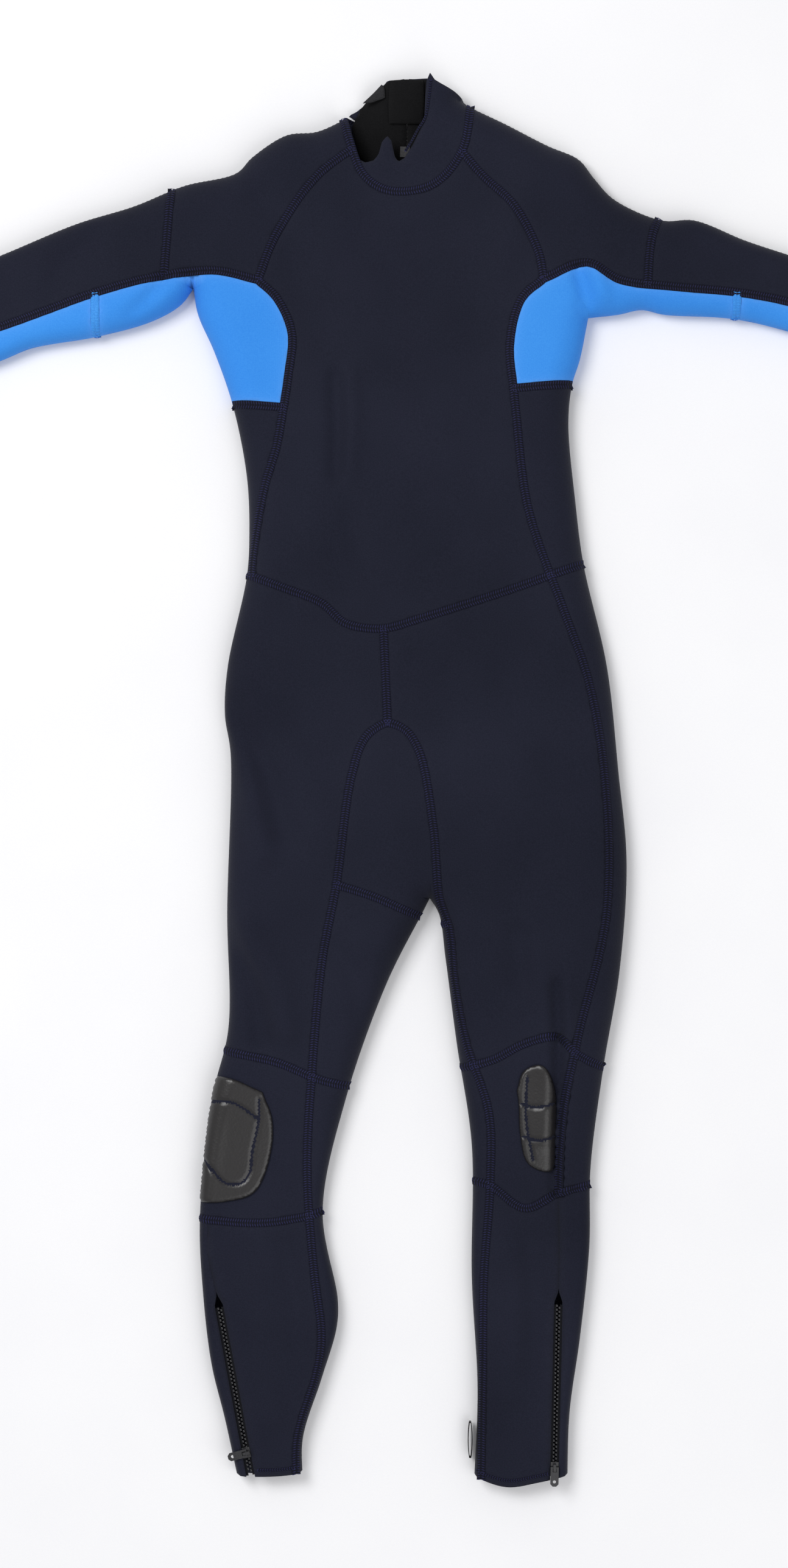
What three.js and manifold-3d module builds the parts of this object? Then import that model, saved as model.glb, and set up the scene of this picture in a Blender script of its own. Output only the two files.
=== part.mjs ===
// A junior full wetsuit with a back zip, lying on its back with its front up.
// Millimetres. +X is the wearer's left, +Y runs from the ankles to the collar, +Z is up.
// The pattern is drawn flat, as panels between named seams. Each panel is lifted onto the padded
// shape of the lying suit, in its top layer, its bottom layer or both, joined round the side folds.
import * as THREE from 'three';
import { mergeVertices } from 'three/addons/utils/BufferGeometryUtils.js';
import Module from 'manifold-3d';

const wasm = await Module();
wasm.setup();

// Driving dimensions
const SUIT_LENGTH = 1212;
const CHEST_WIDTH = 341;
const SLEEVE_REACH = 549;
const NEOPRENE = 3;
const SEAM_GAP = 1;
const TORSO_HEIGHT = 30;
const CUFF_HEIGHT = 20;
const FOLD_HEIGHT = 8;
const TORSO_EDGE = 24;
const CUFF_EDGE = 7;
const KNEE_PAD_THICKNESS = 1.2;
const ANKLE_ZIP_LENGTH = 146;
const BACK_ZIP_LENGTH = 300;
const ANKLE_CHAIN_WIDTH = 5.2;
const BACK_CHAIN_WIDTH = 6.8;
const TAPE_WIDTH = 11;
const ANKLE_TAPE_RIM = 1.2;
const PULL_LENGTH = 16;
const FLAP_WIDTH = 31;

// The pattern's own sizes, which the driving dimensions stretch
const DRAWN = { length: 1212, chest: 341, reach: 549, armhole: 180 };
const CLEAR = 0.35;
const PAD_CLEAR = 2;
const LINING_CLEAR = 1.6;
const EDGE_STEP = 36;
const LONGEST_EDGE = 80;
const NEAR_CORNER = 3;
const STRAIGHT = 0.15;
const SAG = 1.5;
const SPINE_RAISE = 7;

const COLOURS = {
  navy: [0x202330, 0.9],
  blue: [0x3e94e6, 0.85],
  rubber: [0x343232, 0.6],
  black: [0x17171a, 0.95],
  plastic: [0x222226, 0.4],
  tape: [0x1b1c20, 0.9],
  hook: [0x5a5c60, 0.9],
};

function place(x, y) {
  const torso = Math.min(Math.abs(x), DRAWN.armhole) * (CHEST_WIDTH / DRAWN.chest);
  const armScale = (SLEEVE_REACH - (DRAWN.armhole * CHEST_WIDTH) / DRAWN.chest)
    / (DRAWN.reach - DRAWN.armhole);
  const arm = Math.max(Math.abs(x) - DRAWN.armhole, 0) * armScale;
  return new THREE.Vector2(Math.sign(x) * (torso + arm), (y * SUIT_LENGTH) / DRAWN.length);
}

// ---------------------------------------------------------------- pattern curves
// A curve is one or more smooth stretches that meet at corners.
function curve(...stretches) {
  const points = [];
  for (const stretch of stretches) {
    const drawn = stretch.map(([x, y]) => place(x, y));
    const spline = new THREE.CatmullRomCurve3(
      drawn.map((p) => new THREE.Vector3(p.x, p.y, 0)), false, 'centripetal');
    const steps = Math.max(drawn.length === 2 ? 1 : 3, Math.round(spline.getLength() / EDGE_STEP));
    const sampled = spline.getSpacedPoints(steps).map((p) => new THREE.Vector2(p.x, p.y));
    if (points.length) sampled.shift();
    points.push(...sampled);
  }
  return points;
}

// Folds: the outline of the lying suit, where the front turns into the back
const shoulderRight = curve([[-42, 575], [-50.5, 570], [-73, 560], [-99, 557], [-128.6, 538],
  [-142, 524.5], [-187, 513.5], [-230, 496], [-279, 481], [-344, 454], [-440, 416], [-555, 372]]);
const outerRight = curve(
  [[-536, 297], [-430, 334], [-344, 363.5], [-318, 374], [-262, 384], [-215, 397], [-190, 411], [-179, 425]],
  [[-179, 425], [-175, 403], [-161, 371], [-145, 324.5], [-133, 263], [-131, 215], [-133, 179],
    [-149.5, 101], [-152, 60], [-147, 25], [-150, -110], [-149, -210], [-163, -270], [-173.4, -372],
    [-171, -434], [-163.5, -498], [-152, -545], [-140, -600]]);
const shoulderLeft = curve([[50, 587], [59, 581], [88, 567], [125, 548], [152, 536], [165, 520],
  [182, 502], [223, 484], [251, 484], [294, 467], [330, 455], [440, 420], [551, 386]]);
const outerLeft = curve(
  [[531, 311], [430, 354], [330, 389], [283, 399.5], [225, 403], [206, 407], [186, 403], [160, 400]],
  [[160, 400], [153, 365], [146, 342], [143, 309], [149, 242], [156, 188.5], [176, 101], [186, 10],
    [193, -67], [187, -160], [173, -244], [162, -330], [161, -397], [153, -475], [144, -540], [142, -600]]);
const innerLegs = curve(
  [[-85, -600], [-85, -562], [-69, -511], [-56, -467], [-55, -443], [-68, -367], [-48, -270], [-12.5, -170],
    [18, -110], [24, -98]],
  [[24, -98], [32, -112], [37.5, -150], [47, -222], [60, -310], [60, -423], [65, -520], [62, -600]]);
const FOLDS = [shoulderRight, outerRight, shoulderLeft, outerLeft, innerLegs];

// Openings
const hemRight = curve([[-146, -591.5], [-133, -593], [-98, -592], [-72, -586]]);
const hemLeft = curve([[57, -588], [66, -594.5], [90, -602], [117, -598], [147, -591]]);
const wristRight = curve([[-552, 381], [-526, 292]]);
const wristLeft = curve([[547, 395], [520, 306]]);

// Seams on the front
const neckFront = curve([[-55, 582], [-50.5, 570], [-45, 549.5], [-33, 520], [-14, 507], [14, 507],
  [33, 516], [52, 542], [59, 581], [61, 592]]);
const chestRight = curve(
  [[-38, 545], [-73, 518], [-107, 470], [-123, 430]],
  [[-123, 430], [-107, 415], [-94, 385], [-97, 348], [-101, 321]],
  [[-101, 321], [-107, 287.5], [-118, 250.5], [-128, 188.5], [-128.5, 165]]);
const chestLeft = curve(
  [[45, 547], [68, 520], [95, 494], [116, 455], [121, 431]],
  [[121, 431], [102, 414], [92, 375], [95, 337.5]],
  [[95, 337.5], [107, 238], [125, 182], [128, 174]]);
const sleeveSeamRight = curve([[-118, 429], [-123, 430]], [[-123, 430], [-160, 438], [-208, 433], [-266, 418],
  [-331, 395], [-400, 372], [-545, 318]]);
const sleeveSeamLeft = curve([[116, 428], [121, 431]], [[121, 431], [157, 445], [186.5, 430], [230, 424.5],
  [283, 420], [330, 412], [430, 382], [541, 333]]);
const upperArmRight = curve([[-196, 522], [-203.5, 428]]);
const upperArmLeft = curve([[226, 495], [214, 470], [209, 420]]);
const blueJoinRight = curve([[-262, 375], [-262, 445]]);
const blueJoinLeft = curve([[286, 390], [286, 440]]);
const blueHemRight = curve([[-95, 321], [-150, 325]]);
const blueHemLeft = curve([[89, 337], [152, 342.5]]);
const waistFront = curve([[-138, 180.5], [-133, 179], [-103, 168], [-68, 154], [-50, 138], [-31, 133],
  [-12.5, 133], [15, 141], [90, 165], [156, 188.5], [161, 190]]);
const centreFront = curve([[-16, 139], [-12, 46]]);
const inseamRight = curve([[-6, 52.6], [-12.5, 52.6], [-31, 40], [-43, 7], [-56, -86], [-68, -150],
  [-77, -248], [-81, -330], [-75, -419], [-69, -467], [-70, -490], [-75, -512], [-85, -542], [-90, -565], [-90, -602]]);
const inseamLeft = curve([[-19, 52.6], [-12.5, 52.6], [3, 46], [15, 27], [27, -39], [32, -98],
  [40, -122], [45, -170], [55, -222], [74, -280], [75.5, -340], [70, -423], [69, -506], [67.5, -600]]);
const gussetRight = curve([[-62, -84], [-24.5, -96], [1, -107], [23, -117]]);
const gussetLeft = curve([[27, -121], [45, -119]]);
const sideFrontLeft = curve([[123, 188], [141, 140], [159, 88.5], [173, 7], [174.5, -110],
  [150.5, -214], [137.5, -280], [134, -350], [135, -360]]);
const kneeTopRight = curve([[-158, -227], [-132, -232], [-106, -238], [-72, -252], [-40, -260]]);
const kneeBottomRight = curve([[-180, -371.5], [-122, -375.5], [-82, -370], [-60, -363]]);
const kneeTopLeft = curve([[44, -245], [79, -235], [104, -222], [132, -216], [150, -231], [178, -245]]);
const kneeBottomLeft = curve([[54, -339], [74.5, -343], [105, -363], [134, -350], [166, -342]]);

// Seams on the back
const neckBack = curve([[-56, 572], [-50.5, 570], [-30, 563], [4, 558], [38, 567], [59, 581], [64, 584]]);
const backRight = curve(
  [[-30, 572], [-80, 520], [-130, 432]],
  [[-130, 432], [-112, 395], [-108, 321]],
  [[-108, 321], [-112, 250], [-115, 165]]);
const backLeft = curve(
  [[38, 577], [88, 524], [140, 436]],
  [[140, 436], [120, 395], [108, 337]],
  [[108, 337], [112, 250], [126, 172]]);
const sleeveBackRight = curve([[-124, 431], [-130, 432]], [[-130, 432], [-193, 445], [-243, 436], [-300, 412], [-400, 380],
  [-545, 324]]);
const sleeveBackLeft = curve([[134, 434], [140, 436]], [[140, 436], [186, 440], [230, 432], [283, 428], [330, 422],
  [430, 392], [541, 341]]);
const waistBack = curve([[-138, 180.5], [-133, 179], [-60, 170], [-6, 166], [80, 174], [156, 188.5], [161, 190]]);
const sideBackRight = curve([[-118, 186], [-116, 100], [-120, -110], [-128, -230], [-140, -300], [-144, -380]]);

// ---------------------------------------------------------------- zips
// A zip lies along a straight line between its two ends, on the outer face of its layer.
// The insets are the distances at which its two ends keep off the nearest side fold.
function zipLine(drawnEnd, drawnTowards, length, insets = [0, 0]) {
  const [end, towards] = [drawnEnd, drawnTowards].map((at, i) => place(...at).add(new THREE.Vector2(insets[i], 0)));
  const along = towards.sub(end).normalize();
  return { end, along, length, across: new THREE.Vector2(along.y, -along.x) };
}
const reach = ANKLE_ZIP_LENGTH / 146;
const ankleZipRight = zipLine([-142.5, -592], [-171.5, -463], ANKLE_ZIP_LENGTH, [13, 18 * reach]);
const ankleZipLeft = zipLine([142.5, -592], [157, -441], ANKLE_ZIP_LENGTH, [-12, -23 * reach]);
const backZip = zipLine([3, 556], [-6, 240], BACK_ZIP_LENGTH);

function zipPoint(zip, along, across) {
  return zip.end.clone().addScaledVector(zip.along, along).addScaledVector(zip.across, across);
}

// The slot for a zip: a seam above or below it that opens to the slot's width.
function slotEdge(zip, chainWidth, side, seam) {
  const half = side * (chainWidth / 2 + 1.9);
  return [
    ...seam,
    zipPoint(zip, zip.length + 12, 0),
    zipPoint(zip, zip.length + 2, half),
    zipPoint(zip, zip.length / 2, half),
    zipPoint(zip, -14, half),
  ];
}
const shinSideRight = slotEdge(ankleZipRight, ANKLE_CHAIN_WIDTH, 1, curve([[-165.5, -360], [-166.5, -400]]));
const calfSideRight = slotEdge(ankleZipRight, ANKLE_CHAIN_WIDTH, -1, curve([[-165.5, -360], [-166.5, -400]]));
const shinSideLeft = slotEdge(ankleZipLeft, ANKLE_CHAIN_WIDTH, -1, curve([[134, -340], [135, -400]]));
const calfSideLeft = slotEdge(ankleZipLeft, ANKLE_CHAIN_WIDTH, 1, curve([[134, -340], [135, -400]]));
const spineTail = curve([[-11, 45], [-9, 150]]);
const spineRight = slotEdge(backZip, BACK_CHAIN_WIDTH, 1, spineTail);
const spineLeft = slotEdge(backZip, BACK_CHAIN_WIDTH, -1, spineTail);

// ---------------------------------------------------------------- padded shape
function smooth(low, high, value) {
  return THREE.MathUtils.smoothstep(value, low, high);
}

function bulk(x, y) {
  const arm = 1 - smooth(DRAWN.armhole, SLEEVE_REACH * 0.8, Math.abs(x));
  const leg = smooth(-SUIT_LENGTH * 0.35, -SUIT_LENGTH * 0.1, y);
  return Math.min(arm, leg);
}

const foldSegments = FOLDS.flatMap((fold) => fold.slice(1).map((b, i) => {
  const a = fold[i];
  const run = b.clone().sub(a);
  return { a, run, size: run.lengthSq() };
}));

function nearestFold(x, y) {
  let best = Infinity;
  const near = [];
  for (const { a, run, size } of foldSegments) {
    const t = Math.min(1, Math.max(0, ((x - a.x) * run.x + (y - a.y) * run.y) / size));
    const away = Math.hypot(x - a.x - run.x * t, y - a.y - run.y * t);
    near.push(away);
    best = Math.min(best, away);
  }
  return { best, near };
}

// How far a point by the folds leans outwards: the folds' normals, averaged where two meet.
function lean(x, y, best, near, inward) {
  const sum = new THREE.Vector2();
  foldSegments.forEach(({ run }, i) => {
    if (near[i] < best + 0.5) sum.add(new THREE.Vector2(run.y, -run.x).normalize());
  });
  if (best < 0.01) return sum.normalize().multiplyScalar(inward);
  let to = null;
  foldSegments.forEach(({ a, run, size }, i) => {
    if (near[i] > best + 1e-6 || to) return;
    const t = Math.min(1, Math.max(0, ((x - a.x) * run.x + (y - a.y) * run.y) / size));
    to = new THREE.Vector2(a.x + run.x * t - x, a.y + run.y * t - y).normalize();
  });
  return to;
}

// Which side of its own direction each fold keeps the suit on: +1 for its right, -1 for its left.
const foldSide = new Map([[shoulderRight, 1], [outerRight, 1], [shoulderLeft, -1], [outerLeft, -1],
  [innerLegs, -1]]);
const segmentSide = FOLDS.flatMap((fold) => fold.slice(1).map(() => foldSide.get(fold)));

function spineRaise(x, y) {
  const offset = new THREE.Vector2(x, y).sub(backZip.end);
  const side = Math.abs(offset.dot(backZip.across));
  const along = offset.dot(backZip.along);
  return SPINE_RAISE * (1 - smooth(14, 40, side)) * (1 - smooth(BACK_ZIP_LENGTH + 5, BACK_ZIP_LENGTH + 45, along));
}

// The outer face at a flat pattern point, and its outward direction
function lift(x, y, layer) {
  const full = bulk(x, y);
  const { best, near } = nearestFold(x, y);
  const edge = layer > 0 ? CUFF_EDGE + (TORSO_EDGE - CUFF_EDGE) * full : CUFF_EDGE;
  const inwards = Math.max(0, 1 - best / edge);
  const rise = Math.sqrt(1 - inwards * inwards);
  const height = CUFF_HEIGHT + (TORSO_HEIGHT - CUFF_HEIGHT) * full;
  const thick = layer > 0 ? height - FOLD_HEIGHT : FOLD_HEIGHT;
  const normal = new THREE.Vector3(0, 0, layer);
  if (inwards > 0) {
    let side = 1;
    near.forEach((away, i) => { if (away === best) side = segmentSide[i]; });
    const out = lean(x, y, best, near, -side);
    normal.set((out.x * inwards) / edge, (out.y * inwards) / edge, (layer * rise) / thick).normalize();
  }
  const z = FOLD_HEIGHT + layer * thick * rise + (layer < 0 ? spineRaise(x, y) * rise : 0);
  return { point: new THREE.Vector3(x, y, z), normal };
}

// ---------------------------------------------------------------- panels
function crossing(first, second) {
  const found = [];
  for (let i = 0; i + 1 < first.length; i += 1) {
    const a = first[i];
    const r = first[i + 1].clone().sub(a);
    for (let j = 0; j + 1 < second.length; j += 1) {
      const c = second[j];
      const s = second[j + 1].clone().sub(c);
      const turn = r.cross(s);
      if (Math.abs(turn) < 1e-9) continue;
      const gap = c.clone().sub(a);
      const t = gap.cross(s) / turn;
      const u = gap.cross(r) / turn;
      const room = 1e-6;
      if (t < -room || t > 1 + room || u < -room || u > 1 + room) continue;
      found.push({ first: i + t, second: j + u, point: a.clone().addScaledVector(r, t) });
    }
  }
  if (!found.length) throw new Error('two seams do not meet');
  return found[0];
}

// The outline between seams listed in order round the panel
function outline(...edges) {
  const corners = edges.map((edge, i) => crossing(edge, edges[(i + 1) % edges.length]));
  const points = [];
  edges.forEach((edge, i) => {
    const start = corners[(i + edges.length - 1) % edges.length];
    const from = start.second;
    const to = corners[i].first;
    const between = edge.filter((p, k) => k > Math.min(from, to) + 0.06 && k < Math.max(from, to) - 0.06);
    if (from > to) between.reverse();
    const fold = FOLDS.includes(edge);
    points.push({ at: start.point, fold });
    const ends = [start.point, corners[i].point];
    between.filter((at) => ends.every((end) => end.distanceTo(at) > NEAR_CORNER))
      .forEach((at) => points.push({ at, fold }));
  });
  return points.filter(({ at, fold }, i) => {
    const last = points[(i + points.length - 1) % points.length];
    const after = points[(i + 1) % points.length].at.clone().sub(last.at);
    const bend = Math.abs(after.cross(at.clone().sub(last.at))) / after.length();
    return bend > (fold || last.fold ? STRAIGHT / 7 : STRAIGHT);
  });
}

function signedArea(points) {
  return points.reduce((sum, { at }, i) => sum + at.cross(points[(i + 1) % points.length].at), 0) / 2;
}

// Counter-clockwise, with half the seam's gap taken off every edge that is not a fold
function inset(points, gap) {
  let ring = points;
  if (signedArea(points) < 0) {
    ring = points.map(({ at }, i) => ({
      at, fold: points[(i + points.length - 1) % points.length].fold,
    })).reverse();
  }
  return ring.map(({ at, fold }, i) => {
    const last = ring[(i + ring.length - 1) % ring.length];
    const next = ring[(i + 1) % ring.length];
    const before = at.clone().sub(last.at).normalize();
    const after = next.at.clone().sub(at).normalize();
    const onFold = fold || last.fold;
    if (fold && last.fold) return { at, onFold };
    if (fold) return { at: at.clone().addScaledVector(after, gap), onFold };
    if (last.fold) return { at: at.clone().addScaledVector(before, -gap), onFold };
    const miter = new THREE.Vector2(-before.y - after.y, before.x + after.x);
    const size = Math.max(0.2, 1 + before.dot(after));
    return { at: at.clone().addScaledVector(miter, gap / size), onFold };
  });
}

// Top and bottom pieces of one panel share their fold points exactly.
function joinFolds(regions) {
  const kept = [];
  for (const { ring } of regions) {
    for (const corner of ring) {
      if (!corner.onFold) continue;
      const same = kept.find((p) => p.distanceTo(corner.at) < 2.5);
      if (same) corner.at = same;
      else kept.push(corner.at);
    }
  }
}

// Splits triangles until every edge is short and follows the padded shape.
function refine(ring, layer) {
  const flat = ring.map(({ at }) => at);
  const spots = flat.map((p) => ({ x: p.x, y: p.y, ...lift(p.x, p.y, layer) }));
  let faces = THREE.ShapeUtils.triangulateShape(flat, []);
  const middles = new Map();
  const middle = (i, j) => {
    const key = i < j ? `${i},${j}` : `${j},${i}`;
    if (!middles.has(key)) {
      const a = spots[i];
      const b = spots[j];
      const x = (a.x + b.x) / 2;
      const y = (a.y + b.y) / 2;
      const spot = { x, y, ...lift(x, y, layer) };
      const chord = a.point.clone().add(b.point).multiplyScalar(0.5);
      const split = chord.distanceTo(spot.point) > SAG || a.point.distanceTo(b.point) > LONGEST_EDGE;
      middles.set(key, split ? spots.push(spot) - 1 : -1);
    }
    return middles.get(key);
  };
  for (let round = 0; round < 7; round += 1) {
    faces = faces.flatMap(([a, b, c]) => {
      const [ab, bc, ca] = [middle(a, b), middle(b, c), middle(c, a)];
      const count = [ab, bc, ca].filter((m) => m >= 0).length;
      if (count === 3) return [[a, ab, ca], [ab, b, bc], [ca, bc, c], [ab, bc, ca]];
      if (count === 0) return [[a, b, c]];
      if (count === 1) {
        if (ab >= 0) return [[a, ab, c], [ab, b, c]];
        if (bc >= 0) return [[b, bc, a], [bc, c, a]];
        return [[c, ca, b], [ca, a, b]];
      }
      if (ab < 0) return [[c, ca, bc], [ca, a, b], [ca, b, bc]];
      if (bc < 0) return [[a, ab, ca], [ab, b, c], [ab, c, ca]];
      return [[b, bc, ab], [bc, c, a], [bc, a, ab]];
    });
  }
  return { spots, faces };
}

function geometryOf(points, faces) {
  const geometry = new THREE.BufferGeometry();
  geometry.setAttribute('position', new THREE.Float32BufferAttribute(points.flatMap((p) => p.toArray()), 3));
  geometry.setIndex(faces.flat());
  return geometry;
}

// A panel between two heights over the outer face: 0 and -NEOPRENE for the suit's own cloth
function panel(top, bottom, outside = 0, inside = -NEOPRENE, gap = (SEAM_GAP * NEOPRENE) / 6) {
  const regions = [];
  if (top) regions.push({ ring: inset(top, gap), layer: 1 });
  if (bottom) regions.push({ ring: inset(bottom, gap), layer: -1 });
  joinFolds(regions);
  const points = [];
  const normals = [];
  const faces = [];
  const places = new Map();
  for (const { ring, layer } of regions) {
    const { spots, faces: own } = refine(ring, layer);
    const index = spots.map(({ point, normal }) => {
      const onFold = Math.abs(point.z - FOLD_HEIGHT) < 1e-4;
      const key = `${point.x.toFixed(3)},${point.y.toFixed(3)},${onFold ? 0 : layer}`;
      if (!places.has(key)) {
        places.set(key, points.length);
        points.push(point);
        normals.push(normal);
      }
      return places.get(key);
    });
    own.forEach(([a, b, c]) => {
      const face = [index[a], index[b], index[c]];
      if (new Set(face).size === 3) faces.push(layer > 0 ? face : face.reverse());
    });
  }
  const count = points.length;
  const shell = [outside, inside].flatMap((height) =>
    points.map((p, i) => p.clone().addScaledVector(normals[i], height)));
  const sides = new Map();
  faces.forEach(([a, b, c]) => [[a, b], [b, c], [c, a]].forEach(([i, j]) => sides.set(`${i},${j}`, [i, j])));
  const rims = [...sides.values()].filter(([i, j]) => !sides.has(`${j},${i}`));
  const closed = [
    ...faces,
    ...faces.map(([a, b, c]) => [c + count, b + count, a + count]),
    ...rims.flatMap(([i, j]) => [[j, i, i + count], [j, i + count, j + count]]),
  ];
  return geometryOf(shell, closed);
}

// ---------------------------------------------------------------- solids
function solid(geometry) {
  const bare = geometry.clone();
  bare.deleteAttribute('normal');
  bare.deleteAttribute('uv');
  const merged = mergeVertices(bare, 1e-4);
  return new wasm.Manifold(new wasm.Mesh({
    numProp: 3,
    vertProperties: new Float32Array(merged.attributes.position.array),
    triVerts: new Uint32Array(merged.index.array),
  }));
}

function shapeOf(body) {
  const { vertProperties, triVerts } = body.getMesh();
  const geometry = new THREE.BufferGeometry();
  geometry.setAttribute('position', new THREE.BufferAttribute(new Float32Array(vertProperties), 3));
  geometry.setIndex(new THREE.BufferAttribute(new Uint32Array(triVerts), 1));
  return geometry;
}

function box(wide, long, high, x, y, z) {
  return new THREE.BoxGeometry(wide, long, high).translate(x, y, z);
}

function plate(points, depth, holes = []) {
  const shape = new THREE.Shape(points.map(([x, y]) => new THREE.Vector2(x, y)));
  holes.forEach((hole) => shape.holes.push(new THREE.Path(hole.map(([x, y]) => new THREE.Vector2(x, y)))));
  return new THREE.ExtrudeGeometry(shape, { depth, bevelEnabled: false });
}

const suit = new THREE.Group();

function add(parent, name, geometry, colour) {
  const [tint, roughness] = COLOURS[colour];
  const mesh = new THREE.Mesh(geometry, new THREE.MeshStandardMaterial({ color: tint, roughness, metalness: 0 }));
  mesh.name = name;
  parent.add(mesh);
  return mesh;
}

// ---------------------------------------------------------------- body and arms
add(suit, 'chest_panel', panel(outline(neckFront, chestRight, waistFront, chestLeft)), 'navy');
add(suit, 'back_panel_right', panel(null, outline(neckBack, backRight, waistBack, spineRight)), 'navy');
add(suit, 'back_panel_left', panel(null, outline(neckBack, backLeft, waistBack, spineLeft)), 'navy');

const ARMS = {
  right: {
    chest: chestRight, back: backRight, fold: shoulderRight, under: outerRight, hem: blueHemRight,
    front: sleeveSeamRight, rear: sleeveBackRight, upper: upperArmRight, join: blueJoinRight, wrist: wristRight,
  },
  left: {
    chest: chestLeft, back: backLeft, fold: shoulderLeft, under: outerLeft, hem: blueHemLeft,
    front: sleeveSeamLeft, rear: sleeveBackLeft, upper: upperArmLeft, join: blueJoinLeft, wrist: wristLeft,
  },
};
for (const [side, arm] of Object.entries(ARMS)) {
  add(suit, `shoulder_${side}`, panel(
    outline(neckFront, arm.chest, arm.front, arm.upper, arm.fold),
    outline(neckBack, arm.back, arm.rear, arm.upper, arm.fold)), 'navy');
  add(suit, `forearm_${side}`, panel(
    outline(arm.upper, arm.front, arm.wrist, arm.fold),
    outline(arm.upper, arm.rear, arm.wrist, arm.fold)), 'navy');
  add(suit, `underarm_${side}`, panel(
    outline(arm.chest, arm.front, arm.join, arm.under, arm.hem),
    outline(arm.back, arm.rear, arm.join, arm.under, arm.hem)), 'blue');
  add(suit, `forearm_under_${side}`, panel(
    outline(arm.join, arm.front, arm.wrist, arm.under),
    outline(arm.join, arm.rear, arm.wrist, arm.under)), 'blue');
  add(suit, `side_panel_${side}`, panel(
    outline(arm.hem, arm.chest, waistFront, arm.under),
    outline(arm.hem, arm.back, waistBack, arm.under)), 'navy');
}

// ---------------------------------------------------------------- legs
add(suit, 'crotch_gusset', panel(
  outline(inseamRight, gussetRight, innerLegs, gussetLeft, inseamLeft),
  outline(inseamRight, gussetRight, innerLegs, gussetLeft, inseamLeft)), 'navy');
add(suit, 'front_thigh_right', panel(
  outline(waistFront, centreFront, inseamRight, kneeTopRight, outerRight),
  outline(waistBack, sideBackRight, kneeTopRight, outerRight)), 'navy');
add(suit, 'front_thigh_left', panel(
  outline(waistFront, centreFront, inseamLeft, kneeTopLeft, sideFrontLeft)), 'navy');
add(suit, 'back_thigh_right', panel(
  null, outline(waistBack, spineRight, inseamRight, kneeTopRight, sideBackRight)), 'navy');
add(suit, 'back_thigh_left', panel(
  outline(waistFront, sideFrontLeft, kneeTopLeft, outerLeft),
  outline(waistBack, spineLeft, inseamLeft, kneeTopLeft, outerLeft)), 'navy');
add(suit, 'knee_panel_right', panel(
  outline(kneeTopRight, inseamRight, kneeBottomRight, outerRight),
  outline(kneeTopRight, sideBackRight, kneeBottomRight, outerRight)), 'navy');
add(suit, 'knee_panel_left', panel(
  outline(kneeTopLeft, inseamLeft, kneeBottomLeft, sideFrontLeft)), 'navy');
add(suit, 'knee_back_right', panel(
  null, outline(kneeTopRight, inseamRight, kneeBottomRight, sideBackRight)), 'navy');
add(suit, 'knee_back_left', panel(
  outline(kneeTopLeft, sideFrontLeft, kneeBottomLeft, outerLeft),
  outline(kneeTopLeft, inseamLeft, kneeBottomLeft, outerLeft)), 'navy');

const LEGS = {
  right: {
    outer: outerRight, inseam: inseamRight, gusset: gussetRight, kneeTop: kneeTopRight,
    kneeBottom: kneeBottomRight, hem: hemRight, shinSide: shinSideRight, calfSide: calfSideRight,
  },
  left: {
    outer: outerLeft, inseam: inseamLeft, gusset: gussetLeft, kneeTop: kneeTopLeft,
    kneeBottom: kneeBottomLeft, hem: hemLeft, shinSide: shinSideLeft, calfSide: calfSideLeft,
  },
};
for (const [side, leg] of Object.entries(LEGS)) {
  const inner = (above, below) => outline(above, leg.inseam, below, innerLegs);
  add(suit, `inner_thigh_${side}`, panel(inner(leg.gusset, leg.kneeTop), inner(leg.gusset, leg.kneeTop)), 'navy');
  add(suit, `inner_knee_${side}`, panel(inner(leg.kneeTop, leg.kneeBottom), inner(leg.kneeTop, leg.kneeBottom)),
    'navy');
  add(suit, `inner_calf_${side}`, panel(inner(leg.kneeBottom, leg.hem), inner(leg.kneeBottom, leg.hem)), 'navy');
  add(suit, `shin_${side}`, panel(outline(leg.kneeBottom, leg.inseam, leg.hem, leg.shinSide)), 'navy');
  add(suit, `calf_${side}`, panel(
    outline(leg.kneeBottom, leg.calfSide, leg.hem, leg.outer),
    outline(leg.kneeBottom, leg.inseam, leg.hem, leg.outer)), 'navy');
}

// Rubber knee pads on the outside of the knee panels
const padRight = curve([[-152, -252], [-135, -257], [-118, -271], [-111, -292], [-113, -318], [-127, -350],
  [-148, -356], [-163, -352], [-163, -330], [-159, -295], [-154, -265], [-152, -252]]);
const padLeft = curve([[98, -262], [99.5, -272], [101, -300], [108, -325], [128, -331], [131, -300],
  [130, -262], [120, -240], [104, -245], [98, -262]]);
const padHeights = [KNEE_PAD_THICKNESS + PAD_CLEAR, PAD_CLEAR, 0];
for (const [side, pad] of Object.entries({ right: padRight, left: padLeft })) {
  add(suit, `knee_pad_${side}`, panel(
    pad.slice(1).map((at) => ({ at, fold: false })), null, ...padHeights), 'rubber');
}

// ---------------------------------------------------------------- collar
const OPEN = (points) => points.map(([x, y]) => ({ at: place(x, y), fold: false }));
const neckLineFront = neckFront.slice(2, -2).map((at) => ({ at, fold: false }));
add(suit, 'neck_band_front', panel([
  ...neckLineFront,
  ...OPEN([[50, 588], [39, 595], [28, 601], [24, 606], [23.5, 585], [22.5, 566], [16, 556], [2, 534],
    [-14, 532], [-31, 531], [-37, 536], [-42, 553]]),
], null), 'navy');
const collarRight = [[2, 560], [2, 605], [-12, 604], [-17, 598], [-34, 582], [-46, 574], [-31, 566]];
const collarLeft = [[6, 605], [22, 606], [28, 601], [50, 588], [54, 583.5], [38, 570], [6, 561]];
add(suit, 'neck_band_back_right', panel(null, OPEN(collarRight), 0, -NEOPRENE, 0.4), 'navy');
add(suit, 'neck_band_back_left', panel(null, OPEN(collarLeft), 0, -NEOPRENE, 0.4), 'navy');
const LINING = 0.8;
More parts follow.
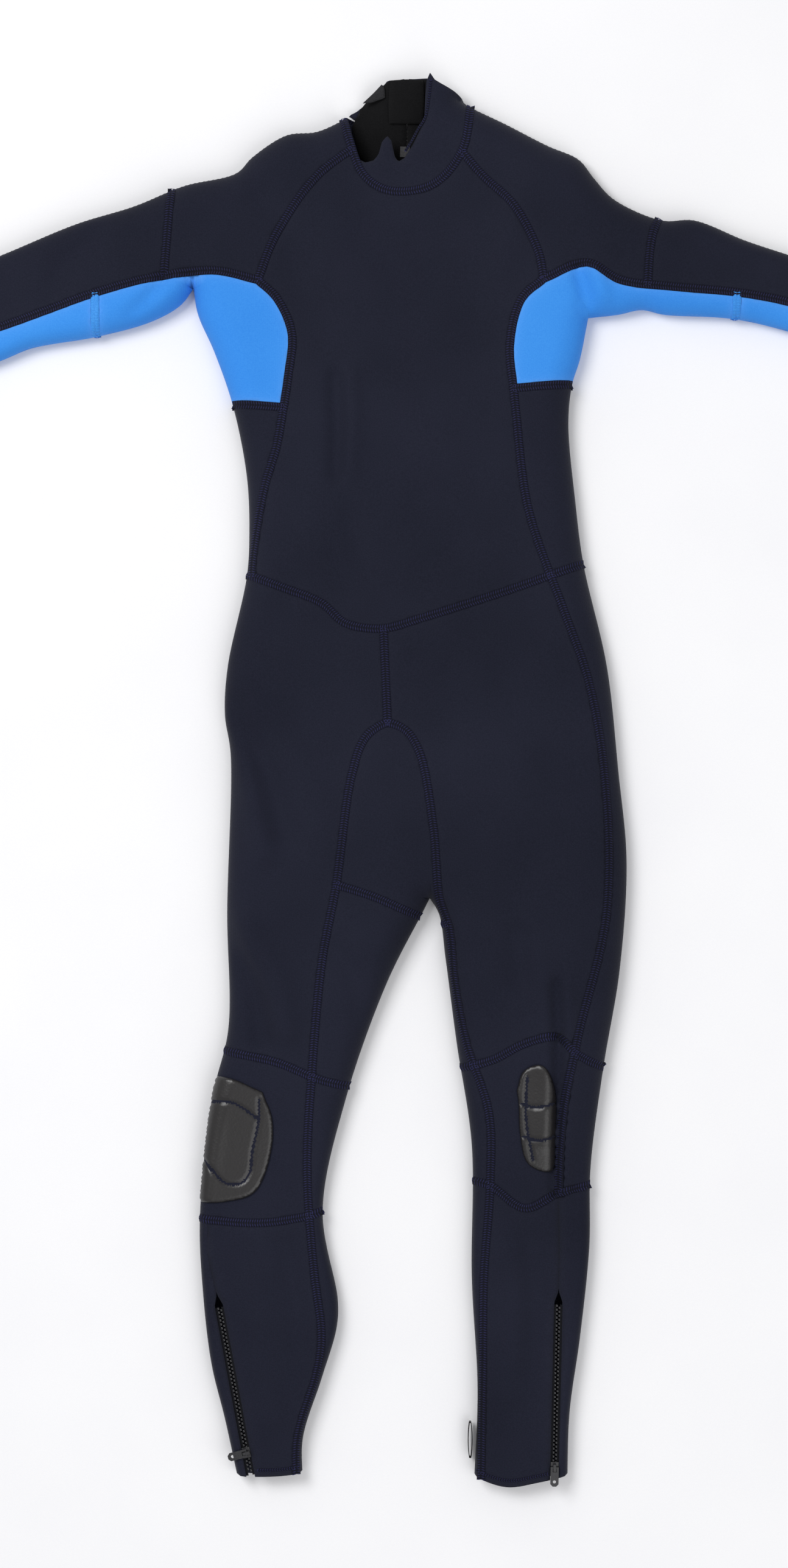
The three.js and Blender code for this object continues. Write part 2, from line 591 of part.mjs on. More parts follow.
const liningHeights = [-NEOPRENE - LINING_CLEAR, -NEOPRENE - LINING_CLEAR - LINING];
const liningRight = [[-1, 565], [-1, 599], [-10, 597], [-25, 579], [-23, 571]];
const liningLeft = [[9, 565], [9, 599], [18, 598], [29, 591], [37, 582], [30, 574]];
add(suit, 'neck_lining_right', panel(null, OPEN(liningRight), ...liningHeights, 0), 'black');
add(suit, 'neck_lining_left', panel(null, OPEN(liningLeft), ...liningHeights, 0), 'black');

// The closure flap lies inside the collar and swings up about its sewn left edge.
const FLAP_HINGE_X = place(19.5, 0).x;
const FLAP_BOTTOM = SPINE_RAISE + NEOPRENE + LINING_CLEAR + LINING + 1;
const flapFrom = place(0, 565).y;
const flapTo = place(0, 604).y;
add(suit, 'neck_flap', box(FLAP_WIDTH, flapTo - flapFrom, 2, FLAP_HINGE_X - FLAP_WIDTH / 2,
  (flapFrom + flapTo) / 2, FLAP_BOTTOM + 1), 'black');
const tabX = FLAP_HINGE_X - FLAP_WIDTH - 12.5;
add(suit, 'hook_tab', plate([[-9, -5], [7, -5], [8, 6], [-2, 5]], 1.4)
  .translate(tabX, place(0, 590).y, FLAP_BOTTOM), 'hook');

// ---------------------------------------------------------------- zips
// In a zip's own frame +Y runs along it from its open end, +Z points out of the suit, and z = 0 is the
// outer face of the panels beside it.
const TOOTH_HEIGHT = 2.2;
const CHAIN_Z = -NEOPRENE - 0.7;
const PLATE = 1.2;
const POST_SLOT = 1.3;
const AXLE_HEIGHT = NEOPRENE - 1.1;

// One side's interlocking teeth, as the bar that they fill
function toothRow(zip, chainWidth, side) {
  const wide = (chainWidth - POST_SLOT) / 2;
  return box(wide, zip.length, TOOTH_HEIGHT, (side * (POST_SLOT + wide)) / 2, zip.length / 2, CHAIN_Z);
}

function zipTape(zip, chainWidth, side, width) {
  const near = chainWidth / 2 + CLEAR;
  return box(width, zip.length, 0.6, side * (near + width / 2), zip.length / 2, CHAIN_Z);
}

// Two plates over and under the teeth, a post between the rows, and a bridge that holds the pull
function slider(chainWidth, turn, grow) {
  const wide = chainWidth + 1.4;
  const long = 9 * grow;
  const face = TOOTH_HEIGHT / 2 + CLEAR;
  const [roof, under] = [AXLE_HEIGHT + 2.1, AXLE_HEIGHT + 1.2];
  const bridge = plate([[-3, -0.4], [-3, roof], [3, roof], [3, -0.4], [2.1, -0.4], [2.1, under], [-2.1, under],
    [-2.1, -0.4]]
    .map(([x, y]) => [x * grow, y]), 2.4).translate(0, 0, -1.2);
  bridge.applyMatrix4(new THREE.Matrix4().makeBasis(
    new THREE.Vector3(0, 1, 0), new THREE.Vector3(0, 0, 1), new THREE.Vector3(1, 0, 0)));
  bridge.rotateZ(turn).translate(0, 0, CHAIN_Z + face + PLATE);
  const body = solid(box(wide, long, PLATE, 0, 0, CHAIN_Z + face + PLATE / 2))
    .add(solid(box(wide, long, PLATE, 0, 0, CHAIN_Z - face - PLATE / 2)))
    .add(solid(box(POST_SLOT - 0.7, long * 0.5, 2 * face + 1, 0, 0, CHAIN_Z)))
    .add(solid(bridge));
  return shapeOf(body);
}

const AXLE_Z = CHAIN_Z + TOOTH_HEIGHT / 2 + CLEAR + PLATE + AXLE_HEIGHT;

// A tab with a hole at its far end and a window at its near end whose bar runs under the bridge
function pullTab(turn, grow) {
  const half = 3.5 * grow;
  const window = [[-1.7, -0.6], [-1.7, -3.6], [1.7, -3.6], [1.7, -0.6]];
  const hole = [];
  for (let i = 0; i < 12; i += 1) {
    const angle = (i / 12) * 2 * Math.PI;
    hole.push([1.4 * Math.cos(angle), -PULL_LENGTH + 4 + 1.4 * Math.sin(angle)]);
  }
  const body = [[-half, 0.6], [-half, -PULL_LENGTH + 2], [-half + 2, -PULL_LENGTH], [half - 2, -PULL_LENGTH],
    [half, -PULL_LENGTH + 2], [half, 0.6]];
  return plate(body, PLATE, [window, hole]).translate(0, 0, -PLATE / 2).rotateZ(turn).translate(0, 0, AXLE_Z);
}

function addZip(name, zip, chainWidth, options) {
  const frame = new THREE.Group();
  const along = new THREE.Vector3(zip.along.x, zip.along.y, 0);
  const out = new THREE.Vector3(0, 0, options.back ? -1 : 1);
  const across = new THREE.Vector3().crossVectors(along, out);
  frame.quaternion.setFromRotationMatrix(new THREE.Matrix4().makeBasis(across, along, out));
  frame.position.set(zip.end.x, zip.end.y, options.face);
  suit.add(frame);
  for (const [side, sign, width] of [['outer', options.outward, options.rim], ['inner', -options.outward, TAPE_WIDTH]]) {
    add(frame, `${name}_tape_${side}`, zipTape(zip, chainWidth, sign, width), 'tape');
    add(frame, `${name}_teeth_${side}`, toothRow(zip, chainWidth, sign), 'plastic');
  }
  const at = options.sliderAt;
  add(frame, `${name}_slider`, slider(chainWidth, options.turn, options.grow).translate(0, at, 0), 'plastic');
  add(frame, `${name}_pull`, pullTab(options.turn, options.grow).translate(0, at, 0), 'plastic');
}

addZip('ankle_zip_right', ankleZipRight, ANKLE_CHAIN_WIDTH,
  { face: CUFF_HEIGHT, sliderAt: 20, turn: -1.5, grow: 1, outward: -1, rim: ANKLE_TAPE_RIM });
addZip('ankle_zip_left', ankleZipLeft, ANKLE_CHAIN_WIDTH,
  { face: CUFF_HEIGHT, sliderAt: 7, turn: 0, grow: 1, outward: 1, rim: ANKLE_TAPE_RIM });
addZip('back_zip', backZip, BACK_CHAIN_WIDTH,
  { face: SPINE_RAISE, sliderAt: 14, turn: Math.PI, grow: 1, back: true, outward: 1, rim: TAPE_WIDTH });

// A webbing loop sewn along the inner edge of the left ankle
const loopAt = place(61, -563);
add(suit, 'ankle_loop', plate([[-2.6, -16], [2.2, -16], [2.2, 16], [-2.6, 16]], 8,
  [[[-1.2, -13], [0.8, -13], [0.8, 13], [-1.2, 13]]]).translate(loopAt.x - 2.2, loopAt.y, 4), 'tape');

// The origin is the middle of the underside.
const bounds = new THREE.Box3().setFromObject(suit);
suit.position.set(-(bounds.min.x + bounds.max.x) / 2, -(bounds.min.y + bounds.max.y) / 2, -bounds.min.z);

export default suit;
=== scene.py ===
"""A junior full wetsuit with a back zip, lying on its back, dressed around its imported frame."""
import logging
import math
from dataclasses import dataclass, field
from enum import Enum

import bmesh
import bpy
import numpy as np
from mathutils import Matrix, Vector, geometry


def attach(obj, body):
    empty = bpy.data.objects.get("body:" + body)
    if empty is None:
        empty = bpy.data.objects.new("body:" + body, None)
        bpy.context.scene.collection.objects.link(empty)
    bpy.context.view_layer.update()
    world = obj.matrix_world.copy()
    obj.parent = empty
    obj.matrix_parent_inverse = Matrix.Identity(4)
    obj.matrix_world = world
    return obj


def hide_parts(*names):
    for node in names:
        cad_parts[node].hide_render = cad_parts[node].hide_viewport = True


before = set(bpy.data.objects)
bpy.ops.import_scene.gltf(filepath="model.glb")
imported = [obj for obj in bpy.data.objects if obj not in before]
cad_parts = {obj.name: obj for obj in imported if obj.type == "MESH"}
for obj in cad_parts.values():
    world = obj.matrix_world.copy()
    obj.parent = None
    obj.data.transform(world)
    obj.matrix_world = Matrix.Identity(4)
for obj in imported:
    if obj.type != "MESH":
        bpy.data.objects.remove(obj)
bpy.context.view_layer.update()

LOG = logging.getLogger("wetsuit")
MM = 0.001
CLOTH = 3.0  # the cloth's thickness, in millimetres
FOLD_REACH = 30.0  # how far from a side fold the shape still depends on it, in millimetres
FOLD_ROWS = (0.5, 1.6, 3.4, 6.2, 9.6)  # where points lie beside a fold, in millimetres from it
EYE = (-0.0041, -0.0023, 3.02)  # the camera's place, in metres
LENS = 80.5
Points = np.ndarray


class Layer(Enum):
    """The two layers of the lying suit."""

    FRONT = 1
    BACK = -1


class Thread(Enum):
    """The two seam thread colours."""

    INDIGO = "indigo"
    BLUE = "blue"


# ------------------------------------------------------------------ curves
def spline(points: list, step: float) -> Points:
    """A centripetal Catmull-Rom curve through points.

    Args:
        points: the drawn (x, y) points, in millimetres.
        step: the distance between samples, in millimetres.

    Returns:
        The evenly spaced samples, one row each.
    """
    drawn = np.array(points, float)
    if len(drawn) == 2:
        dense = drawn[0] + np.linspace(0, 1, 41)[:, None] * (drawn[1] - drawn[0])
    else:
        padded = np.vstack([2 * drawn[0] - drawn[1], drawn, 2 * drawn[-1] - drawn[-2]])
        pieces = []
        for i in range(len(drawn) - 1):
            p = padded[i:i + 4]
            steps = np.sqrt(np.linalg.norm(np.diff(p, axis=0), axis=1)) + 1e-9
            knots = np.concatenate([[0], np.cumsum(steps)])
            t = np.linspace(knots[1], knots[2], 24, endpoint=False)[:, None]
            a = [(knots[j + 1] - t) / (knots[j + 1] - knots[j]) * p[j]
                 + (t - knots[j]) / (knots[j + 1] - knots[j]) * p[j + 1] for j in range(3)]
            b = [(knots[j + 2] - t) / (knots[j + 2] - knots[j]) * a[j]
                 + (t - knots[j]) / (knots[j + 2] - knots[j]) * a[j + 1] for j in range(2)]
            span = knots[2] - knots[1]
            pieces.append((knots[2] - t) / span * b[0] + (t - knots[1]) / span * b[1])
        dense = np.vstack(pieces + [drawn[-1:]])
    return respaced(dense, step)


def respaced(dense: Points, step: float) -> Points:
    """The same polyline with evenly spaced points about step apart."""
    run = np.concatenate([[0], np.cumsum(np.linalg.norm(np.diff(dense, axis=0), axis=1))])
    count = max(2, int(round(run[-1] / step)) + 1)
    at = np.linspace(0, run[-1], count)
    return np.column_stack([np.interp(at, run, dense[:, k]) for k in range(dense.shape[1])])


def curve(*stretches: list, step: float = 4.0) -> Points:
    """Smooth stretches that meet at corners, as one polyline in millimetres."""
    parts = [spline(s, step) for s in stretches]
    return np.vstack([parts[0]] + [p[1:] for p in parts[1:]])


def crossing(first: Points, second: Points) -> tuple:
    """Where two polylines first cross.

    Args:
        first: the first polyline.
        second: the second polyline.

    Returns:
        The place along each polyline, counted in segments, and the point itself.
    """
    a, r = first[:-1, None], np.diff(first, axis=0)[:, None]
    c, s = second[None, :-1], np.diff(second, axis=0)[None]
    turn = r[..., 0] * s[..., 1] - r[..., 1] * s[..., 0]
    gap = c - a
    safe = np.where(np.abs(turn) < 1e-9, 1, turn)
    t = (gap[..., 0] * s[..., 1] - gap[..., 1] * s[..., 0]) / safe
    u = (gap[..., 0] * r[..., 1] - gap[..., 1] * r[..., 0]) / safe
    room = 1e-6
    hit = (np.abs(turn) > 1e-9) & (t >= -room) & (t <= 1 + room) & (u >= -room) & (u <= 1 + room)
    found = np.argwhere(hit)
    if not len(found):
        raise ValueError("two seams do not meet")
    i, j = found[0]
    return i + t[i, j], j + u[i, j], first[i] + r[i, 0] * t[i, j]


@dataclass
class Pattern:
    """The flat pattern: named folds, openings and seams, in millimetres, as part of the lying suit."""

    curves: dict = field(default_factory=dict)
    folds: tuple = ("shoulder_right", "outer_right", "shoulder_left", "outer_left", "inner_legs")

    def draw(self, name: str, *stretches: list) -> None:
        """Adds one named curve."""
        self.curves[name] = curve(*stretches)

    def outline(self, names: str) -> list:
        """The edges round a panel, cut where each meets the next.

        Args:
            names: the curves' names in order round the panel, with spaces between.

        Returns:
            One (name, points, from, to) tuple per edge.
        """
        order = names.split()
        after = order[1:] + order[:1]
        corners = [crossing(self.curves[one], self.curves[other]) for one, other in zip(order, after)]
        edges = []
        for i, name in enumerate(order):
            line = self.curves[name]
            start, stop = corners[i - 1][1], corners[i][0]
            low, high = min(start, stop), max(start, stop)
            keep = [k for k in range(len(line)) if low + 0.15 < k < high - 0.15]
            if start > stop:
                keep.reverse()
            points = np.vstack([corners[i - 1][2][None], line[keep], corners[i][2][None]])
            edges.append((name, points, start, stop))
        return edges


PATTERN = Pattern()
draw = PATTERN.draw
draw("shoulder_right", [[-42, 575], [-50.5, 570], [-73, 560], [-99, 557], [-128.6, 538], [-142, 524.5],
     [-187, 513.5], [-230, 496], [-279, 481], [-344, 454], [-440, 416], [-555, 372]])
draw("outer_right",
     [[-536, 297], [-430, 334], [-344, 363.5], [-318, 374], [-262, 384], [-215, 397], [-190, 411],
      [-179, 425]],
     [[-179, 425], [-175, 403], [-161, 371], [-145, 324.5], [-133, 263], [-131, 215], [-133, 179],
      [-149.5, 101], [-152, 60], [-147, 25], [-150, -110], [-149, -210], [-163, -270], [-173.4, -372],
      [-171, -434], [-163.5, -498], [-152, -545], [-140, -600]])
draw("shoulder_left", [[50, 587], [59, 581], [88, 567], [125, 548], [152, 536], [165, 520], [182, 502],
     [223, 484], [251, 484], [294, 467], [330, 455], [440, 420], [551, 386]])
draw("outer_left",
     [[531, 311], [430, 354], [330, 389], [283, 399.5], [225, 403], [206, 407], [186, 403], [160, 400]],
     [[160, 400], [153, 365], [146, 342], [143, 309], [149, 242], [156, 188.5], [176, 101], [186, 10],
      [193, -67], [187, -160], [173, -244], [162, -330], [161, -397], [153, -475], [144, -540], [142, -600]])
draw("inner_legs",
     [[-85, -600], [-85, -562], [-69, -511], [-56, -467], [-55, -443], [-68, -367], [-48, -270],
      [-12.5, -170], [18, -110], [24, -98]],
     [[24, -98], [32, -112], [37.5, -150], [47, -222], [60, -310], [60, -423], [65, -520], [62, -600]])
draw("hem_right", [[-146, -591.5], [-133, -593], [-98, -592], [-72, -586]])
draw("hem_left", [[57, -588], [66, -594.5], [90, -602], [117, -598], [147, -591]])
draw("wrist_right", [[-552, 381], [-526, 292]])
draw("wrist_left", [[547, 395], [520, 306]])
draw("neck_front", [[-55, 582], [-50.5, 570], [-45, 549.5], [-33, 520], [-14, 507], [14, 507], [33, 516],
     [52, 542], [59, 581], [61, 592]])
draw("chest_right", [[-38, 545], [-73, 518], [-107, 470], [-123, 430]],
     [[-123, 430], [-107, 415], [-94, 385], [-97, 348], [-101, 321]],
     [[-101, 321], [-107, 287.5], [-118, 250.5], [-128, 188.5], [-128.5, 165]])
draw("chest_left", [[45, 547], [68, 520], [95, 494], [116, 455], [121, 431]],
     [[121, 431], [102, 414], [92, 375], [95, 337.5]],
     [[95, 337.5], [107, 238], [125, 182], [128, 174]])
draw("sleeve_front_right", [[-118, 429], [-123, 430]], [[-123, 430], [-160, 438], [-208, 433], [-266, 418],
     [-331, 395], [-400, 372], [-545, 318]])
draw("sleeve_front_left", [[116, 428], [121, 431]], [[121, 431], [157, 445], [186.5, 430], [230, 424.5],
     [283, 420], [330, 412], [430, 382], [541, 333]])
draw("upper_arm_right", [[-196, 522], [-203.5, 428]])
draw("upper_arm_left", [[226, 495], [214, 470], [209, 420]])
draw("blue_join_right", [[-262, 375], [-262, 445]])
draw("blue_join_left", [[286, 390], [286, 440]])
draw("blue_hem_right", [[-95, 321], [-150, 325]])
draw("blue_hem_left", [[89, 337], [152, 342.5]])
draw("waist_front", [[-138, 180.5], [-133, 179], [-103, 168], [-68, 154], [-50, 138], [-31, 133],
     [-12.5, 133], [15, 141], [90, 165], [156, 188.5], [161, 190]])
draw("centre_front", [[-16, 139], [-12, 46]])
draw("inseam_right", [[-6, 52.6], [-12.5, 52.6], [-31, 40], [-43, 7], [-56, -86], [-68, -150], [-77, -248],
     [-81, -330], [-75, -419], [-69, -467], [-70, -490], [-75, -512], [-85, -542], [-90, -565], [-90, -602]])
draw("inseam_left", [[-19, 52.6], [-12.5, 52.6], [3, 46], [15, 27], [27, -39], [32, -98], [40, -122],
     [45, -170], [55, -222], [74, -280], [75.5, -340], [70, -423], [69, -506], [67.5, -600]])
draw("gusset_right", [[-62, -84], [-24.5, -96], [1, -107], [23, -117]])
draw("gusset_left", [[27, -121], [45, -119]])
draw("side_front_left", [[123, 188], [141, 140], [159, 88.5], [173, 7], [174.5, -110], [150.5, -214],
     [137.5, -280], [134, -350], [135, -360]])
draw("knee_top_right", [[-158, -227], [-132, -232], [-106, -238], [-72, -252], [-40, -260]])
draw("knee_bottom_right", [[-180, -371.5], [-122, -375.5], [-82, -370], [-60, -363]])
draw("knee_top_left", [[44, -245], [79, -235], [104, -222], [132, -216], [150, -231], [178, -245]])
draw("knee_bottom_left", [[54, -339], [74.5, -343], [105, -363], [134, -350], [166, -342]])
draw("neck_back", [[-56, 572], [-50.5, 570], [-30, 563], [4, 558], [38, 567], [59, 581], [64, 584]])
draw("back_right", [[-30, 572], [-80, 520], [-130, 432]], [[-130, 432], [-112, 395], [-108, 321]],
     [[-108, 321], [-112, 250], [-115, 165]])
draw("back_left", [[38, 577], [88, 524], [140, 436]], [[140, 436], [120, 395], [108, 337]],
     [[108, 337], [112, 250], [126, 172]])
draw("sleeve_back_right", [[-124, 431], [-130, 432]], [[-130, 432], [-193, 445], [-243, 436], [-300, 412],
     [-400, 380], [-545, 324]])
draw("sleeve_back_left", [[134, 434], [140, 436]], [[140, 436], [186, 440], [230, 432], [283, 428],
     [330, 422], [430, 392], [541, 341]])
draw("waist_back", [[-138, 180.5], [-133, 179], [-60, 170], [-6, 166], [80, 174], [156, 188.5], [161, 190]])
draw("side_back_right", [[-118, 186], [-116, 100], [-120, -110], [-128, -230], [-140, -300], [-144, -380]])
draw("pad_right", [[-121, -255], [-118, -266], [-111, -285], [-112, -315], [-126, -349], [-150, -357],
     [-182, -358]])
draw("pad_top_right", [[-180, -252], [-148, -251], [-128, -259], [-106, -269]])
draw("pad_left", [[98, -262], [99.5, -272], [101, -300], [108, -325], [128, -331], [131, -300],
     [130, -262], [120, -240], [104, -245], [98, -262]])


@dataclass(frozen=True)
class ZipLine:
    """A zip's straight line on the pattern, from its open end, with its chain's width."""

    end: tuple
    towards: tuple
    length: float
    chain: float
    slot: float = 1.9

    @property
    def along(self) -> Points:
        """The direction along the zip."""
        run = np.subtract(self.towards, self.end)
        return run / np.linalg.norm(run)

    @property
    def across(self) -> Points:
        """The direction across the zip."""
        along = self.along
        return np.array([along[1], -along[0]])

    def point(self, along: float, across: float) -> Points:
        """A point in the zip's own directions."""
        return np.array(self.end) + self.along * along + self.across * across

    def slot_edge(self, side: float, seam: list) -> Points:
        """The seam that leads to the zip and then opens to one side of its slot."""
        half = side * (self.chain / 2 + self.slot)
        lead = spline(seam, 4.0)
        tail = np.array([lead[-1], self.point(self.length + 12, 0), self.point(self.length + 2, half),
                         self.point(self.length / 2, half), self.point(-14, half)])
        return np.vstack([lead[:-1], respaced(tail, 4.0)])


ANKLE_RIGHT = ZipLine((-129.5, -592), (-153.5, -463), 146, 5.2, 1.0)
ANKLE_LEFT = ZipLine((130.5, -592), (134, -441), 146, 5.2, 1.0)
SPINE = ZipLine((3, 556), (-6, 240), 300, 6.8)
SIDE_RIGHT = [[-165.5, -360], [-166.5, -400]]
SIDE_LEFT = [[134, -340], [135, -400]]
TAIL = [[-11, 45], [-9, 150]]
PATTERN.curves.update(
    shin_side_right=ANKLE_RIGHT.slot_edge(1, SIDE_RIGHT),
    calf_side_right=ANKLE_RIGHT.slot_edge(-1, SIDE_RIGHT),
    shin_side_left=ANKLE_LEFT.slot_edge(-1, SIDE_LEFT),
    calf_side_left=ANKLE_LEFT.slot_edge(1, SIDE_LEFT),
    spine_right=SPINE.slot_edge(1, TAIL), spine_left=SPINE.slot_edge(-1, TAIL))


# ------------------------------------------------------------------ padded shape
def smooth(low: float, high: float, value: Points) -> Points:
    """A smooth step from 0 at low to 1 at high."""
    t = np.clip((value - low) / (high - low), 0, 1)
    return t * t * (3 - 2 * t)


@dataclass
class Padded:
    """The lying suit's shape: how high each layer stands over the flat pattern, in millimetres."""

    shift: Points
    torso_height: float = 30.0
    cuff_height: float = 20.0
    fold_height: float = 8.0
    torso_edge: float = 24.0
    cuff_edge: float = 7.0
    spine_raise: float = 7.0
    soft_edge: float = 20.0

    def __post_init__(self) -> None:
        """Gathers the fold segments that the heights are measured from."""
        lines = [PATTERN.curves[name] for name in PATTERN.folds]
        self.starts = np.vstack([line[:-1] for line in lines])
        self.runs = np.vstack([np.diff(line, axis=0) for line in lines])

    def fold_distance(self, flat: Points) -> Points:
        """The distance of each flat point to the nearest side fold, exact up to FOLD_REACH.

        Args:
            flat: the pattern points, in millimetres.

        Returns:
            One distance for each point, in millimetres.
        """
        best = np.full(len(flat), FOLD_REACH)
        tiles = np.floor(flat / 60).astype(int)
        order = np.lexsort(tiles.T)
        breaks = np.flatnonzero(np.any(np.diff(tiles[order], axis=0), axis=1)) + 1
        for members in np.split(order, breaks):
            low = flat[members].min(axis=0) - FOLD_REACH
            high = flat[members].max(axis=0) + FOLD_REACH
            ends = self.starts + self.runs
            near = np.all(
                (np.maximum(self.starts, ends) > low) & (np.minimum(self.starts, ends) < high), axis=1)
            if near.any():
                gap = flat[members][:, None] - self.starts[near][None]
                run = self.runs[near]
                t = np.clip((gap * run).sum(axis=2) / (run * run).sum(axis=1), 0, 1)
                away = np.linalg.norm(gap - t[..., None] * run, axis=2).min(axis=1)
                best[members] = np.minimum(best[members], away)
        return best

    def bulk(self, flat: Points) -> Points:
        """1 on the body and 0 towards wrists and ankles."""
        arm = 1 - smooth(180, 439.2, np.abs(flat[:, 0]))
        leg = smooth(-424.2, -121.2, flat[:, 1])
        return np.minimum(arm, leg)

    def lift(self, flat: Points, layer: Layer) -> Points:
        """The outer face over flat pattern points.

        Args:
            flat: the pattern points, in millimetres.
            layer: which layer of the suit they are in.

        Returns:
            The points in the row frame, in metres.
        """
        away = self.fold_distance(flat)
        full = self.bulk(flat)
        edge = self.cuff_edge + (self.torso_edge - self.cuff_edge) * full * (layer is Layer.FRONT)
        inwards = np.maximum(0, 1 - away / edge)
        rise = np.sqrt(np.maximum(0, 1 - inwards ** 2))
        height = self.cuff_height + (self.torso_height - self.cuff_height) * full
        if layer is Layer.FRONT:
            z = self.fold_height + (height - self.fold_height) * rise
            z = z + creases(flat) * smooth(0, self.soft_edge, away)
        else:
            offset = flat - np.array(SPINE.end)
            raised = self.spine_raise * (1 - smooth(14, 40, np.abs(offset @ SPINE.across)))
            raised = raised * (1 - smooth(305, 345, offset @ SPINE.along))
            z = self.fold_height - self.fold_height * rise + raised * rise
        return np.column_stack([flat + self.shift, z]) * MM

    def normals(self, flat: Points, layer: Layer) -> Points:
        """The outer face's normals at flat points, from its slopes."""
        step = 0.4
        dx = self.lift(flat + [step, 0], layer) - self.lift(flat - [step, 0], layer)
        dy = self.lift(flat + [0, step], layer) - self.lift(flat - [0, step], layer)
        normal = np.cross(dx, dy) * layer.value
        return normal / np.linalg.norm(normal, axis=1)[:, None]


@dataclass(frozen=True)
class Crease:
    """A soft line in the cloth: its route, half-width and height, which is negative in a valley."""

    route: tuple
    width: float
    height: float


CREASES = (
    Crease(((-57, 348), (-55, 300), (-56, 265)), 7, -2.6),
    Crease(((-44, 348), (-43, 300), (-45, 268)), 8, 1.6),
    Crease(((-45, 230), (-36, 190)), 10, -1.2),
    Crease(((-152, 66), (-120, 20), (-100, -40)), 14, -3.0),
    Crease(((-147, 34), (-128, -10), (-118, -60)), 12, 2.4),
    Crease(((-150, -140), (-128, -175), (-120, -215)), 12, -3.2),
    Crease(((-140, -120), (-112, -160), (-100, -210)), 14, 3.0),
    Crease(((99, -130), (101, -165)), 12, -2.6),
    Crease(((112, -120), (118, -170)), 14, 1.6),
    Crease(((132, -170), (134, -230), (132, -290), (131, -350)), 4.5, -3.4),
    Crease(((141, -180), (143, -240), (141, -300), (138, -345)), 7, 2.6),
    Crease(((122, -190), (123, -240), (122, -300)), 8, 1.4),
    Crease(((-202, 432), (-216, 415), (-230, 403)), 6, -2.4),
    Crease(((151, 437), (157, 415), (159, 398)), 6, -2.6),
    Crease(((165, 440), (171, 420), (173, 405)), 7, 2.0),
    Crease(((-90, 60), (-60, 20), (-48, -20)), 18, -1.4),
    Crease(((60, 90), (90, 40), (110, -20)), 26, 1.6),
    Crease(((-120, 500), (-98, 470), (-90, 440)), 14, -1.6),
    Crease(((110, 515), (96, 480), (84, 440)), 16, 1.5),
    Crease(((-30, 470), (0, 460), (30, 468)), 18, -1.2),
    Crease(((-125, -430), (-118, -480), (-110, -540)), 12, 1.6),
    Crease(((-100, -395), (-92, -440), (-90, -480)), 10, -1.8),
    Crease(((90, -400), (95, -450), (92, -520)), 12, 1.5),
    Crease(((110, -390), (114, -440), (112, -500)), 10, -1.6),
    Crease(((-60, -140), (-40, -165), (-35, -200)), 10, -1.6),
    Crease(((-260, 470), (-290, 440), (-300, 420)), 12, -1.6),
    Crease(((250, 470), (270, 450), (300, 440)), 12, -1.6),
)


def near_route(flat: Points, route: Points) -> Points:
    """The distance of each flat point to a polyline."""
    best = np.full(len(flat), 1e9)
    for a, b in zip(route[:-1], route[1:]):
        r = b - a
        t = np.clip(((flat - a) @ r) / (r @ r), 0, 1)
        best = np.minimum(best, np.linalg.norm(flat - a - t[:, None] * r, axis=1))
    return best


CREASE_GAIN = 2.1
CREASE_LINES = [(crease, curve(list(crease.route), step=12.0)) for crease in CREASES]


def creases(flat: Points) -> Points:
    """The height of the soft creases and the slow swell of the front layer, in millimetres."""
    x, y = flat[:, 0], flat[:, 1]
    swell = 0.9 * np.sin(x / 41 + 1.3 * np.sin(y / 63)) * np.sin(y / 57 + 0.8)
    swell = swell + 0.5 * np.sin(x / 19 + y / 33 + 0.6) * np.sin(y / 27 - x / 49)
    for crease, line in CREASE_LINES:
        reach = 2.6 * crease.width
        close = np.all((flat > line.min(axis=0) - reach) & (flat < line.max(axis=0) + reach), axis=1)
        if close.any():
            away = near_route(flat[close], line) / crease.width
            swell[close] += CREASE_GAIN * crease.height * np.exp(-(away ** 2))
    return swell


# ------------------------------------------------------------------ finishes
class Kind(Enum):
    """How a finish's surface is made."""

    KNIT = "knit"
    RUBBER = "rubber"
    PILE = "pile"
    TAPE = "tape"
    PLASTIC = "plastic"
    THREAD = "thread"
    PAPER = "paper"


@dataclass(frozen=True)
class Finish:
    """One material: its colour as sRGB 0-255, its surface and its record slot."""

    name: str
    kind: Kind
    colour: tuple
    second: tuple
    roughness: float
    sheen: float
    slot: str
    relief: float


NAVY = Finish("navy_knit", Kind.KNIT, (29, 31, 46), (22, 24, 37), 0.82, 0.05, "navy_neoprene", 0.35)
BLUE = Finish("blue_knit", Kind.KNIT, (62, 146, 232), (52, 134, 224), 0.75, 0.05, "blue_neoprene", 0.35)
RUBBER = Finish("knee_rubber", Kind.RUBBER, (36, 34, 35), (28, 27, 28), 0.36, 0.0, "knee_rubber", 0.5)
BLACK = Finish("lining_pile", Kind.PILE, (17, 17, 19), (11, 11, 12), 0.88, 0.04, "black_lining", 0.6)
HOOK = Finish("hook_fabric", Kind.PILE, (44, 44, 47), (28, 28, 31), 0.75, 0.05, "hook_fabric", 1.0)
PLASTIC = Finish("zip_plastic", Kind.PLASTIC, (30, 30, 33), (42, 42, 46), 0.3, 0.0, "zip_plastic", 0.2)
TAPE = Finish("zip_tape", Kind.TAPE, (21, 22, 28), (13, 13, 18), 0.75, 0.15, "zip_tape", 0.7)
INDIGO = Finish("indigo_thread", Kind.THREAD, (42, 43, 84), (33, 34, 66), 0.65, 0.05, "navy_neoprene", 0.5)
INDIGO_BED = Finish("indigo_bed", Kind.THREAD, (19, 20, 31), (14, 15, 24), 0.8, 0.02, "navy_neoprene", 0.5)
BLUE_THREAD = Finish("blue_thread", Kind.THREAD, (74, 158, 238), (50, 128, 214), 0.6, 0.05,
                     "blue_neoprene", 0.5)
